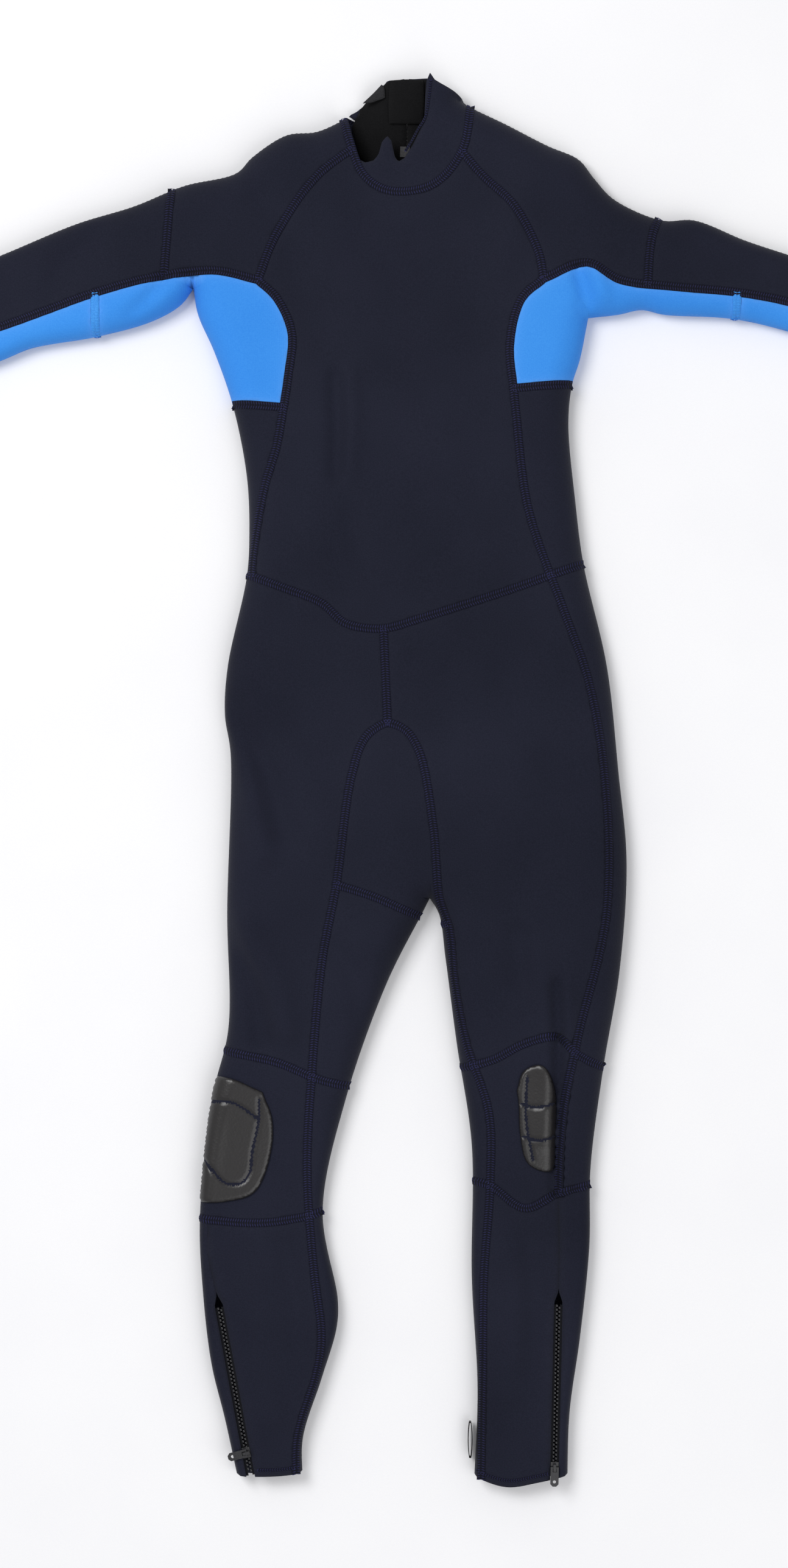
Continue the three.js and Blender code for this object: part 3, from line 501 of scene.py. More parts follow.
FLOOR = Finish("white_floor", Kind.PAPER, (247, 247, 249), (243, 243, 246), 0.8, 0.0, "", 0.05)


def linear(colour: tuple) -> tuple:
    """An sRGB colour, 0-255, as linear RGBA."""
    part = [c / 255 for c in colour]
    return tuple(c / 12.92 if c <= 0.04045 else ((c + 0.055) / 1.055) ** 2.4 for c in part) + (1.0,)


class Shaders:
    """Makes the shared shader node groups and one material per finish."""

    def __init__(self) -> None:
        """Builds the groups that every material shares."""
        self.made: dict = {}
        self.drift = self.drift_group()
        self.knit = self.wave_group("knit_relief", (1150.0, 1500.0), 0.6)
        self.weave = self.wave_group("tape_relief", (1700.0, 900.0), 0.35)
        self.grain = self.grain_group()

    @staticmethod
    def group(name: str, inputs: dict, outputs: dict) -> tuple:
        """A node group with named sockets.

        Args:
            name: the group's name.
            inputs: each input's name and its socket type.
            outputs: each output's name and its socket type.

        Returns:
            The group, its input node and its output node.
        """
        tree = bpy.data.node_groups.new(name, "ShaderNodeTree")
        for label, kind in inputs.items():
            tree.interface.new_socket(name=label, in_out="INPUT", socket_type=kind)
        for label, kind in outputs.items():
            tree.interface.new_socket(name=label, in_out="OUTPUT", socket_type=kind)
        return tree, tree.nodes.new("NodeGroupInput"), tree.nodes.new("NodeGroupOutput")

    @staticmethod
    def maths(tree: bpy.types.NodeTree, operation: str, first: object, second: object) -> object:
        """The output of a maths node over two sockets or numbers."""
        node = tree.nodes.new("ShaderNodeMath")
        node.operation = operation
        for socket, value in zip(node.inputs, (first, second)):
            if isinstance(value, (int, float)):
                socket.default_value = value
            else:
                tree.links.new(value, socket)
        return node.outputs[0]

    @staticmethod
    def noise(tree: bpy.types.NodeTree, scale: float, detail: float) -> object:
        """The output of a noise texture over the object's own coordinates."""
        place = tree.nodes.new("ShaderNodeTexCoord")
        node = tree.nodes.new("ShaderNodeTexNoise")
        node.inputs["Scale"].default_value = scale
        node.inputs["Detail"].default_value = detail
        tree.links.new(place.outputs["Object"], node.inputs["Vector"])
        return node.outputs["Fac"]

    def drift_group(self) -> bpy.types.NodeTree:
        """Colour that drifts between two tones, broadly and in fine fibres, and is painted paler near sewn
        rims: a painted highlight that stands in for light on the cloth puckered beside the seams.
        """
        tree, inside, outside = self.group(
            "colour_drift",
            {"Colour": "NodeSocketColor", "Second": "NodeSocketColor", "Rim": "NodeSocketFloat"},
            {"Colour": "NodeSocketColor", "Mask": "NodeSocketFloat"})
        broad = self.noise(tree, 7.0, 3.0)
        fine = self.noise(tree, 900.0, 2.0)
        mask = self.maths(tree, "ADD", self.maths(tree, "MULTIPLY", broad, 0.55),
                          self.maths(tree, "MULTIPLY", fine, 0.45))
        reach = tree.nodes.new("ShaderNodeMapRange")
        reach.inputs["From Min"].default_value = 0.36
        reach.inputs["From Max"].default_value = 0.66
        tree.links.new(mask, reach.inputs["Value"])
        mix = tree.nodes.new("ShaderNodeMix")
        mix.data_type = "RGBA"
        tree.links.new(reach.outputs["Result"], mix.inputs["Factor"])
        tree.links.new(inside.outputs["Colour"], mix.inputs["A"])
        tree.links.new(inside.outputs["Second"], mix.inputs["B"])
        # painted highlight: the colour is paled and desaturated towards sewn rims, as light on the puckered
        # cloth beside the seams
        seam_highlight = tree.nodes.new("ShaderNodeHueSaturation")
        seam_highlight.inputs["Saturation"].default_value = 0.86
        seam_highlight.inputs["Value"].default_value = 1.35
        tree.links.new(mix.outputs["Result"], seam_highlight.inputs["Color"])
        tree.links.new(self.maths(tree, "MULTIPLY", inside.outputs["Rim"], 0.5), seam_highlight.inputs["Fac"])
        tree.links.new(seam_highlight.outputs["Color"], outside.inputs["Colour"])
        tree.links.new(reach.outputs["Result"], outside.inputs["Mask"])
        return tree

    def wave_group(self, name: str, scales: tuple, blur: float) -> bpy.types.NodeTree:
        """A knitted or woven height made from two crossing waves and fibre noise."""
        tree, _, outside = self.group(name, {}, {"Height": "NodeSocketFloat"})
        place = tree.nodes.new("ShaderNodeTexCoord")
        waves = []
        for direction, scale in zip(("X", "Y"), scales):
            wave = tree.nodes.new("ShaderNodeTexWave")
            wave.bands_direction = direction
            wave.inputs["Scale"].default_value = scale / (2 * math.pi)
            wave.inputs["Distortion"].default_value = blur
            tree.links.new(place.outputs["Object"], wave.inputs["Vector"])
            waves.append(wave.outputs["Fac"])
        both = self.maths(tree, "MULTIPLY", waves[0], waves[1])
        fibre = self.maths(tree, "MULTIPLY", self.noise(tree, 1600.0, 3.0), 0.5)
        tree.links.new(self.maths(tree, "ADD", both, fibre), outside.inputs["Height"])
        return tree

    def grain_group(self) -> bpy.types.NodeTree:
        """A leather-like grain of small rounded cells."""
        tree, _, outside = self.group("leather_grain", {}, {"Height": "NodeSocketFloat"})
        place = tree.nodes.new("ShaderNodeTexCoord")
        cells = tree.nodes.new("ShaderNodeTexVoronoi")
        cells.feature = "SMOOTH_F1"
        cells.inputs["Scale"].default_value = 520.0
        tree.links.new(place.outputs["Object"], cells.inputs["Vector"])
        rough = self.maths(tree, "MULTIPLY", self.noise(tree, 240.0, 4.0), 0.8)
        height = self.maths(tree, "SUBTRACT", rough, cells.outputs["Distance"])
        tree.links.new(height, outside.inputs["Height"])
        return tree

    def material(self, finish: Finish) -> bpy.types.Material:
        """The finish's material, made once."""
        if finish.name in self.made:
            return self.made[finish.name]
        material = bpy.data.materials.new(finish.name)
        material.use_nodes = True
        tree = material.node_tree
        shader = tree.nodes["Principled BSDF"]
        drift = tree.nodes.new("ShaderNodeGroup")
        drift.node_tree = self.drift
        drift.inputs["Colour"].default_value = linear(finish.colour)
        drift.inputs["Second"].default_value = linear(finish.second)
        # the rim attribute drives the painted seam highlight in the drift group
        rim = tree.nodes.new("ShaderNodeAttribute")
        rim.attribute_name = "rim"
        tree.links.new(rim.outputs["Fac"], drift.inputs["Rim"])
        tree.links.new(drift.outputs["Colour"], shader.inputs["Base Color"])
        spread = self.maths(tree, "MULTIPLY", drift.outputs["Mask"], 0.12)
        rough = self.maths(tree, "ADD", spread, finish.roughness - 0.06)
        tree.links.new(rough, shader.inputs["Roughness"])
        shader.inputs["Sheen Weight"].default_value = finish.sheen
        shader.inputs["Sheen Roughness"].default_value = 0.5
        glossy = finish.kind in (Kind.PLASTIC, Kind.RUBBER)
        shader.inputs["Specular IOR Level"].default_value = 0.5 if glossy else 0.12
        relief = tree.nodes.new("ShaderNodeGroup")
        relief.node_tree = {Kind.KNIT: self.knit, Kind.TAPE: self.weave, Kind.THREAD: self.weave,
                            Kind.PILE: self.weave}.get(finish.kind, self.grain)
        bump = tree.nodes.new("ShaderNodeBump")
        bump.inputs["Strength"].default_value = finish.relief
        bump.inputs["Distance"].default_value = 0.0002
        tree.links.new(relief.outputs["Height"], bump.inputs["Height"])
        tree.links.new(bump.outputs["Normal"], shader.inputs["Normal"])
        self.made[finish.name] = material
        return material


# ------------------------------------------------------------------ cloth skins
def area_of(ring: Points) -> float:
    """The signed area inside a closed ring."""
    x, y = ring[:, 0], ring[:, 1]
    return float((x * np.roll(y, -1) - np.roll(x, -1) * y).sum() / 2)


def segment_distance(flat: Points, starts: Points, runs: Points) -> Points:
    """The distance of each flat point to the nearest of many segments."""
    best = np.full(len(flat), 1e9)
    for a, r in zip(starts, runs):
        t = np.clip(((flat - a) @ r) / max(r @ r, 1e-12), 0, 1)
        best = np.minimum(best, np.linalg.norm(flat - a - t[:, None] * r, axis=1))
    return best


def inside(flat: Points, ring: Points) -> Points:
    """Whether each flat point is inside a closed ring."""
    x, y = flat[:, 0:1], flat[:, 1:2]
    ax, ay = ring[:, 0], ring[:, 1]
    bx, by = np.roll(ax, -1), np.roll(ay, -1)
    spans = (ay > y) != (by > y)
    slope = np.where(np.abs(by - ay) < 1e-12, 1e-12, by - ay)
    return ((x < (bx - ax) * (y - ay) / slope + ax) & spans).sum(axis=1) % 2 == 1


@dataclass
class Region:
    """One layer of a panel: its closed flat ring, and which of its points lie on a side fold."""

    ring: Points
    fold: Points
    layer: Layer

    @classmethod
    def between(cls, names: str, layer: Layer) -> "Region":
        """The region between named curves."""
        points, marks = [], []
        for name, line, _, _ in PATTERN.outline(names):
            folded = name in PATTERN.folds
            points.append(line[:-1])
            mark = np.full(len(line) - 1, folded)
            marks.append(mark)
        ring, fold = np.vstack(points), np.concatenate(marks)
        fold = fold | np.roll(fold, 1)
        if area_of(ring) < 0:
            ring, fold = ring[::-1], fold[::-1]
        return cls(ring, fold, layer)

    @classmethod
    def drawn(cls, points: list, layer: Layer) -> "Region":
        """The region inside a drawn outline."""
        ring = np.array(points, float)
        ring = respaced(np.vstack([ring, ring[:1]]), 2.5)[:-1]
        if area_of(ring) < 0:
            ring = ring[::-1]
        return cls(ring, np.zeros(len(ring), bool), layer)

    def fill(self, spacing: float) -> tuple:
        """Triangles over the region.

        Args:
            spacing: the distance between the inner points, in millimetres.

        Returns:
            The flat points, the triangles, and how near each point is to the sewn rim, from 0 to 1.
        """
        ring = self.ring
        starts, runs = ring, np.roll(ring, -1, axis=0) - ring
        low, high = ring.min(axis=0), ring.max(axis=0)
        gx, gy = np.meshgrid(np.arange(low[0], high[0], spacing), np.arange(low[1], high[1], spacing * 0.87))
        gx = gx + (np.arange(len(gx)) % 2)[:, None] * spacing / 2
        grid = np.column_stack([gx.ravel(), gy.ravel()])
        grid = grid[inside(grid, ring)]
        grid = grid[segment_distance(grid, starts, runs) > spacing * 0.55]
        both = self.fold & np.roll(self.fold, -1)
        if both.any():
            grid = grid[segment_distance(grid, starts[both], runs[both]) > 12]
            turned = np.column_stack([-runs[both][:, 1], runs[both][:, 0]])
            turned = turned / np.linalg.norm(turned, axis=1)[:, None]
            rows = [starts[both] + runs[both] / 2 * (k % 2) + turned * away
                    for k, away in enumerate(FOLD_ROWS)]
            rows = np.vstack(rows)
            rows = rows[inside(rows, ring)]
            sewn = ~both
            if sewn.any() and len(rows):
                rows = rows[segment_distance(rows, starts[sewn], runs[sewn]) > 1.2]
            grid = np.vstack([grid, rows])
        every = np.vstack([ring, grid])
        made = geometry.delaunay_2d_cdt([Vector(p) for p in every], [], [list(range(len(ring)))], 1, 1e-5)
        flat = np.array([tuple(p) for p in made[0]])
        faces = [tuple(f) for f in made[2]]
        sewn = ~both
        rim = np.zeros(len(flat))
        if sewn.any():
            rim = np.exp(-segment_distance(flat, starts[sewn], runs[sewn]) / 3.0)
        return flat, faces, rim


def new_object(name: str, points: Points, faces: list, finish: Finish, shaders: Shaders,
               rim: Points | None = None) -> bpy.types.Object:
    """A mesh object at the origin, with its finish and its rim attribute."""
    mesh = bpy.data.meshes.new(name)
    mesh.from_pydata([tuple(p) for p in points], [], faces)
    mesh.update()
    mesh.polygons.foreach_set("use_smooth", [True] * len(mesh.polygons))
    values = np.zeros(len(mesh.vertices)) if rim is None else rim
    attribute = mesh.attributes.new("rim", "FLOAT", "POINT")
    attribute.data.foreach_set("value", np.asarray(values, np.float32))
    obj = bpy.data.objects.new(name, mesh)
    bpy.context.scene.collection.objects.link(obj)
    obj.data.materials.append(shaders.material(finish))
    return obj


def hand_over(obj: bpy.types.Object, body: str = "suit", node: str = "") -> None:
    """Args:
        obj: the finished mesh.
        body: the body it moves with.
        node: the CAD node it stands in for, or empty text for an added trimming.
    """
    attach(obj, body)
    if node:
        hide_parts(node)


@dataclass(frozen=True)
class PanelCut:
    """One panel of the suit: its CAD node, its finish and the curves round each of its layers."""

    node: str
    finish: Finish
    top: str = ""
    bottom: str = ""


SHARED_CURVES = ("neck_front", "neck_back", "waist_front", "waist_back", "inner_legs")


def cuts() -> list:
    """Every cut panel of the suit."""
    found = [
        PanelCut("chest_panel", NAVY, "neck_front chest_right waist_front chest_left"),
        PanelCut("crotch_gusset", NAVY,
                 *["inseam_right gusset_right inner_legs gusset_left inseam_left"] * 2),
        PanelCut("front_thigh_right", NAVY, "waist_front centre_front inseam_right knee_top_right outer_right",
                 "waist_back side_back_right knee_top_right outer_right"),
        PanelCut("front_thigh_left", NAVY,
                 "waist_front centre_front inseam_left knee_top_left side_front_left"),
        PanelCut("back_thigh_right", NAVY, "",
                 "waist_back spine_right inseam_right knee_top_right side_back_right"),
        PanelCut("back_thigh_left", NAVY, "waist_front side_front_left knee_top_left outer_left",
                 "waist_back spine_left inseam_left knee_top_left outer_left"),
        PanelCut("knee_panel_right", NAVY, "knee_top_right inseam_right knee_bottom_right outer_right",
                 "knee_top_right side_back_right knee_bottom_right outer_right"),
        PanelCut("knee_panel_left", NAVY, "knee_top_left inseam_left knee_bottom_left side_front_left"),
        PanelCut("knee_back_right", NAVY, "",
                 "knee_top_right inseam_right knee_bottom_right side_back_right"),
        PanelCut("knee_back_left", NAVY, "knee_top_left side_front_left knee_bottom_left outer_left",
                 "knee_top_left inseam_left knee_bottom_left outer_left"),
    ]
    for side in ("right", "left"):
        def named(text: str, side: str = side) -> str:
            return " ".join(word if word in SHARED_CURVES else f"{word}_{side}" for word in text.split())
        found += [
            PanelCut(f"back_panel_{side}", NAVY, "", named("neck_back back waist_back spine")),
            PanelCut(f"shoulder_{side}", NAVY, named("neck_front chest sleeve_front upper_arm shoulder"),
                     named("neck_back back sleeve_back upper_arm shoulder")),
            PanelCut(f"forearm_{side}", NAVY, named("upper_arm sleeve_front wrist shoulder"),
                     named("upper_arm sleeve_back wrist shoulder")),
            PanelCut(f"underarm_{side}", BLUE, named("chest sleeve_front blue_join outer blue_hem"),
                     named("back sleeve_back blue_join outer blue_hem")),
            PanelCut(f"forearm_under_{side}", BLUE, named("blue_join sleeve_front wrist outer"),
                     named("blue_join sleeve_back wrist outer")),
            PanelCut(f"side_panel_{side}", NAVY, named("blue_hem chest waist_front outer"),
                     named("blue_hem back waist_back outer")),
            PanelCut(f"inner_thigh_{side}", NAVY, *[named("gusset inseam knee_top inner_legs")] * 2),
            PanelCut(f"inner_knee_{side}", NAVY, *[named("knee_top inseam knee_bottom inner_legs")] * 2),
            PanelCut(f"inner_calf_{side}", NAVY, *[named("knee_bottom inseam hem inner_legs")] * 2),
            PanelCut(f"shin_{side}", NAVY, named("knee_bottom inseam hem shin_side")),
            PanelCut(f"calf_{side}", NAVY, named("knee_bottom calf_side hem outer"),
                     named("knee_bottom inseam hem outer")),
        ]
    return found


@dataclass
class Tailor:
    """Makes the suit's cloth pieces over the padded shape."""

    shape: Padded
    shaders: Shaders
    spacing: float = 5.0
    valley: float = 0.9

    def skin(self, name: str, regions: list, finish: Finish, over: float = 0.0) -> tuple:
        """A one-sided skin over one or two regions, joined along their shared fold."""
        points, faces, rims, known = [], [], [], {}
        for region in regions:
            front = region.layer is Layer.FRONT
            flat, triangles, rim = region.fill(self.spacing if front else self.spacing * 1.5)
            lifted = self.shape.lift(flat, region.layer)
            if over:
                lifted = lifted + self.shape.normals(flat, region.layer) * over * MM
            else:
                depth = self.valley * region.layer.value * smooth(1, 8, self.shape.fold_distance(flat)) * MM
                lifted[:, 2] -= rim * depth
            index = []
            for i, p in enumerate(lifted):
                on_fold = len(regions) > 1 and abs(p[2] - self.shape.fold_height * MM) < 2e-5
                key = (round(p[0], 5), round(p[1], 5), 0 if on_fold else region.layer.value)
                if key not in known:
                    known[key] = len(points)
                    points.append(p)
                    rims.append(rim[i])
                index.append(known[key])
            for a, b, c in triangles:
                face = (index[a], index[b], index[c])
                if len(set(face)) == 3:
                    faces.append(face if front else face[::-1])
        return new_object(name, np.array(points), faces, finish, self.shaders, np.array(rims))

    def thicken(self, obj: bpy.types.Object, thickness: float) -> None:
        """Gives a skin its thickness inwards and turns the modifier into mesh."""
        solidify = obj.modifiers.new("thickness", "SOLIDIFY")
        solidify.thickness = thickness * MM
        solidify.offset = -1
        apply_modifiers(obj)

    def panel(self, cut: PanelCut) -> bpy.types.Object:
        """One cut panel, 3 mm thick, in place of its CAD node."""
        regions = [Region.between(names, layer)
                   for names, layer in ((cut.top, Layer.FRONT), (cut.bottom, Layer.BACK)) if names]
        obj = self.skin(f"{cut.node}_cloth", regions, cut.finish)
        self.thicken(obj, CLOTH)
        hand_over(obj, "suit", cut.node)
        return obj


def apply_modifiers(obj: bpy.types.Object) -> None:
    """Turns an object's modifiers into mesh."""
    bpy.context.view_layer.update()
    graph = bpy.context.evaluated_depsgraph_get()
    mesh = bpy.data.meshes.new_from_object(
        obj.evaluated_get(graph), preserve_all_data_layers=True, depsgraph=graph)
    obj.modifiers.clear()
    old, obj.data = obj.data, mesh
    bpy.data.meshes.remove(old)


# ------------------------------------------------------------------ seams
@dataclass(frozen=True)
class SeamRun:
    """A flatlock seam along part of a curve, between two other curves."""

    line: str
    start: str
    stop: str
    layer: Layer
    thread: Thread = Thread.INDIGO


def seam_runs() -> list:
    """Every flatlock seam of the suit."""
    front, back, blue = Layer.FRONT, Layer.BACK, Thread.BLUE
    runs = [
        SeamRun("neck_front", "chest_right", "chest_left", front),
        SeamRun("neck_front", "shoulder_right", "chest_right", front),
        SeamRun("neck_front", "chest_left", "shoulder_left", front),
        SeamRun("neck_back", "shoulder_right", "spine_right", back),
        SeamRun("neck_back", "spine_left", "shoulder_left", back),
        SeamRun("waist_front", "outer_right", "outer_left", front),
        SeamRun("waist_back", "outer_right", "spine_right", back),
        SeamRun("waist_back", "spine_left", "outer_left", back),
        SeamRun("centre_front", "waist_front", "inseam_right", front),
        SeamRun("side_front_left", "waist_front", "knee_bottom_left", front),
        SeamRun("side_back_right", "waist_back", "knee_bottom_right", back),
    ]
    for side in ("right", "left"):
        runs += [
            SeamRun(f"chest_{side}", "neck_front", "waist_front", front),
            SeamRun(f"back_{side}", "neck_back", "waist_back", back),
            SeamRun(f"sleeve_front_{side}", f"chest_{side}", f"wrist_{side}", front),
            SeamRun(f"sleeve_back_{side}", f"back_{side}", f"wrist_{side}", back),
            SeamRun(f"upper_arm_{side}", f"shoulder_{side}", f"sleeve_front_{side}", front),
            SeamRun(f"upper_arm_{side}", f"shoulder_{side}", f"sleeve_back_{side}", back),
            SeamRun(f"blue_join_{side}", f"sleeve_front_{side}", f"outer_{side}", front, blue),
            SeamRun(f"blue_join_{side}", f"sleeve_back_{side}", f"outer_{side}", back, blue),
            SeamRun(f"blue_hem_{side}", f"chest_{side}", f"outer_{side}", front),
            SeamRun(f"blue_hem_{side}", f"back_{side}", f"outer_{side}", back),
            SeamRun(f"gusset_{side}", f"inseam_{side}", "inner_legs", front),
            SeamRun(f"gusset_{side}", f"inseam_{side}", "inner_legs", back),
            SeamRun(f"inseam_{side}", f"hem_{side}", "centre_front", front),
            SeamRun(f"inseam_{side}", f"hem_{side}", "centre_front", back),
            SeamRun(f"knee_top_{side}", "inner_legs", f"outer_{side}", front),
            SeamRun(f"knee_top_{side}", "inner_legs", f"outer_{side}", back),
            SeamRun(f"knee_bottom_{side}", "inner_legs", f"outer_{side}", front),
            SeamRun(f"knee_bottom_{side}", "inner_legs", f"outer_{side}", back),
        ]
    return runs


@dataclass
class Flatlock:
    """Makes flatlock seams: a low crowned band of thread with its ladder of stitches."""

    shape: Padded
    shaders: Shaders
    width: float = 7.2
    crown: float = 0.55
    pitch: float = 2.1

    def stretch(self, run: SeamRun) -> Points:
        """The seam's route between its two ends."""
        line = PATTERN.curves[run.line]
        a, _, first = crossing(line, PATTERN.curves[run.start])
        b, _, last = crossing(line, PATTERN.curves[run.stop])
        if a > b:
            a, b, first, last = b, a, last, first
        keep = [k for k in range(len(line)) if a + 0.05 < k < b - 0.05]
        return respaced(np.vstack([first[None], line[keep], last[None]]), 2.5)

    def band(self, name: str, route: Points, layer: Layer, finish: Finish,
             width: float = 0.0) -> bpy.types.Object:
        """A crowned band along a flat route.

        Args:
            name: the piece's name.
            route: the flat route, in millimetres.
            layer: the layer that it is sewn on.
            finish: the thread's finish.
            width: the band's width, if not the usual one.

        Returns:
            The piece, one closed strip with its stitches on it.
        """
        half = (width or self.width) / 2
        run = np.gradient(route, axis=0)
        run = run / np.linalg.norm(run, axis=1)[:, None]
        across = np.column_stack([-run[:, 1], run[:, 0]])
        profile = [(-1.0, -0.25), (-0.92, 0.32), (-0.5, self.crown), (-0.08, self.crown),
                   (0.0, self.crown - 0.22), (0.08, self.crown), (0.5, self.crown), (0.92, 0.32),
                   (1.0, -0.25)]
        rows = []
        for u, height in profile:
            flat = route + across * half * u
            rows.append(self.shape.lift(flat, layer) + self.shape.normals(route, layer) * height * MM)
        points = np.stack(rows, axis=1).reshape(-1, 3)
        count, wide = len(route), len(profile)
        faces = [(i * wide + j, i * wide + j + 1, (i + 1) * wide + j + 1, (i + 1) * wide + j)
                 for i in range(count - 1) for j in range(wide - 1)]
        if layer is Layer.FRONT:
            faces = [f[::-1] for f in faces]
        stitched, more = self.ladder(route, layer, half, len(points))
        obj = new_object(name, np.vstack([points, stitched]), faces + more, finish, self.shaders)
        if finish is INDIGO:
            obj.data.materials.append(self.shaders.material(INDIGO_BED))
            bed = np.zeros(len(obj.data.polygons), np.int32)
            bed[:len(faces)] = 1
            obj.data.polygons.foreach_set("material_index", bed)
        return obj

    def ladder(self, route: Points, layer: Layer, half: float, first: int) -> tuple:
        """The cross stitches over a band: slanted raised bars on both sides of the middle.

        Args:
            route: the flat route.
            layer: the layer that they are on.
            half: half the band's width, in millimetres.
            first: the number of points before these.

        Returns:
            The points and the faces.
        """
        spots = respaced(route, self.pitch)
        run = np.gradient(spots, axis=0)
        run = run / np.linalg.norm(run, axis=1)[:, None]
        across = np.column_stack([-run[:, 1], run[:, 0]])
        normals = self.shape.normals(spots, layer)
        points, faces = [], []
        for side in (-1, 1):
            ends = [(spots + across * half * side * 0.04 - run * 0.45, self.crown + 0.02),
                    (spots + across * half * side * 0.5, self.crown + 0.3),
                    (spots + across * half * side * 0.97 + run * 0.45, 0.3)]
            for flat, height in ends:
                base = self.shape.lift(flat, layer) + normals * height * MM
                flat_run = np.column_stack([run, np.zeros(len(run))]) * 0.42 * MM
                points += [base - flat_run - normals * 0.3 * MM, base, base + flat_run - normals * 0.3 * MM]
        rows = len(points)
        stacked = np.stack(points, axis=1).reshape(-1, 3)
        for i in range(len(spots)):
            for side in range(2):
                start = first + i * rows + side * 9
                for k in range(2):
                    for j in range(2):
                        a = start + k * 3 + j
                        face = (a, a + 1, a + 4, a + 3)
                        faces.append(face if (side == 1) == (layer is Layer.BACK) else face[::-1])
        return stacked, faces

    def sew(self, run: SeamRun) -> bpy.types.Object:
        """One seam piece of the suit."""
        finish = BLUE_THREAD if run.thread is Thread.BLUE else INDIGO
        name = f"seam_{run.line}_{run.start}_{run.layer.name.lower()}"
        obj = self.band(name, self.stretch(run), run.layer, finish)
        hand_over(obj)
        return obj

    def hem(self, name: str, run: SeamRun, inwards: tuple) -> bpy.types.Object:
        """A narrow stitched hem, set inwards from an opening's edge."""
        route = self.stretch(run) + np.array(inwards)
        obj = self.band(name, route[1:-1], run.layer, INDIGO, 2.6)
        hand_over(obj)
        return obj


# ------------------------------------------------------------------ zips
@dataclass
class Zip:
    """A moulded zip's frame in the row frame, in metres, and its rows of interlocking teeth."""

    name: str
    line: ZipLine
    face: float
    shape: Padded
    shaders: Shaders
    back: bool = False
    first: float = 4.0
    depth: float = 3.7
    tooth_pitch: float = 3.4

    def __post_init__(self) -> None:
        """Works out the frame's axes."""
        along = np.append(self.line.along, 0.0)
        out = np.array([0.0, 0.0, -1.0 if self.back else 1.0])
        origin = np.append(np.array(self.line.end) + self.shape.shift, self.face) * MM
        self.matrix = Matrix([list(np.cross(along, out)), list(along), list(out)]).transposed().to_4x4()
        self.matrix.translation = Vector(origin)

    def tooth(self) -> bpy.types.Mesh:
        """One moulded tooth, from a block with its edges rounded."""
        bpy.ops.object.select_all(action="DESELECT")
        bpy.ops.mesh.primitive_cube_add(size=1, location=(0, 0, 0))
        obj = bpy.context.object
        bpy.ops.object.mode_set(mode="EDIT")
        bpy.ops.mesh.select_all(action="SELECT")
        half = self.line.chain / 2 - 0.75
        bpy.ops.transform.resize(value=(half * MM, 2.1 * MM, 2.0 * MM))
        bpy.ops.mesh.bevel(offset=0.42 * MM, segments=2, affect="EDGES")
        bpy.ops.object.mode_set(mode="OBJECT")
        mesh = obj.data.copy()
        bpy.data.objects.remove(obj)
        return mesh

    def teeth(self) -> list:
        """The two rows of teeth, in place of their CAD bars."""
        tooth = self.tooth()
        cube = np.array([tuple(v.co) for v in tooth.vertices])
        cells = [tuple(p.vertices) for p in tooth.polygons]
        made = []
        for side, sign in (("outer", 1), ("inner", -1)):
            places = np.arange(self.first, self.line.length - 2, self.tooth_pitch)
            places = places + (0.5 * self.tooth_pitch) * (sign < 0)
            middle = sign * (self.line.chain / 2 - 0.75) * 0.62
            points, faces = [], []
            for place in places:
                faces += [tuple(k + len(points) * len(cube) for k in cell) for cell in cells]
                points.append(cube + np.array([middle, place, -self.depth]) * MM)
            local = np.vstack(points)
            turned = np.array([tuple(self.matrix @ Vector(p)) for p in local])
            obj = new_object(f"{self.name}_moulded_{side}", turned, faces, PLASTIC, self.shaders)
            hand_over(obj)
            made.append(obj)
        return made

    def strip(self, name: str, low: float, high: float, depth: float, finish: Finish, nodes: tuple,
              start: float = 0.0, stop: float = 0.0) -> bpy.types.Object:
        """A woven strip along the zip, with a rib every few millimetres that is highest midway across it.

        Args:
            name: the piece's name.
            low: its near edge across the zip, in millimetres.
            high: its far edge across the zip.
            depth: how far its face lies under the cloth's face.
            finish: its finish.
            nodes: the CAD nodes that it stands for.
            start: where it starts along the zip.
            stop: where it ends, or the zip's length.

        Returns:
            The piece.
        """
        stop = stop or self.line.length
        us = np.linspace(low, high, 9)
        vs = np.arange(start, stop + 0.01, 1.0)
        crowns = np.sin((us - low) / (high - low) * math.pi)
        grid = np.array([[u, v, -depth + 0.12 * math.sin(v * 2.1) * crown]
                         for v in vs for u, crown in zip(us, crowns)]) * MM
        turned = np.array([tuple(self.matrix @ Vector(p)) for p in grid])
        wide = len(us)
        faces = [(i * wide + j, i * wide + j + 1, (i + 1) * wide + j + 1, (i + 1) * wide + j)
                 for i in range(len(vs) - 1) for j in range(wide - 1)]
        obj = new_object(name, turned, faces, finish, self.shaders)
        solidify = obj.modifiers.new("thickness", "SOLIDIFY")
        solidify.thickness = 0.5 * MM
        solidify.offset = -1
        apply_modifiers(obj)
        hand_over(obj)
        for node in nodes:
            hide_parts(node)
        return obj


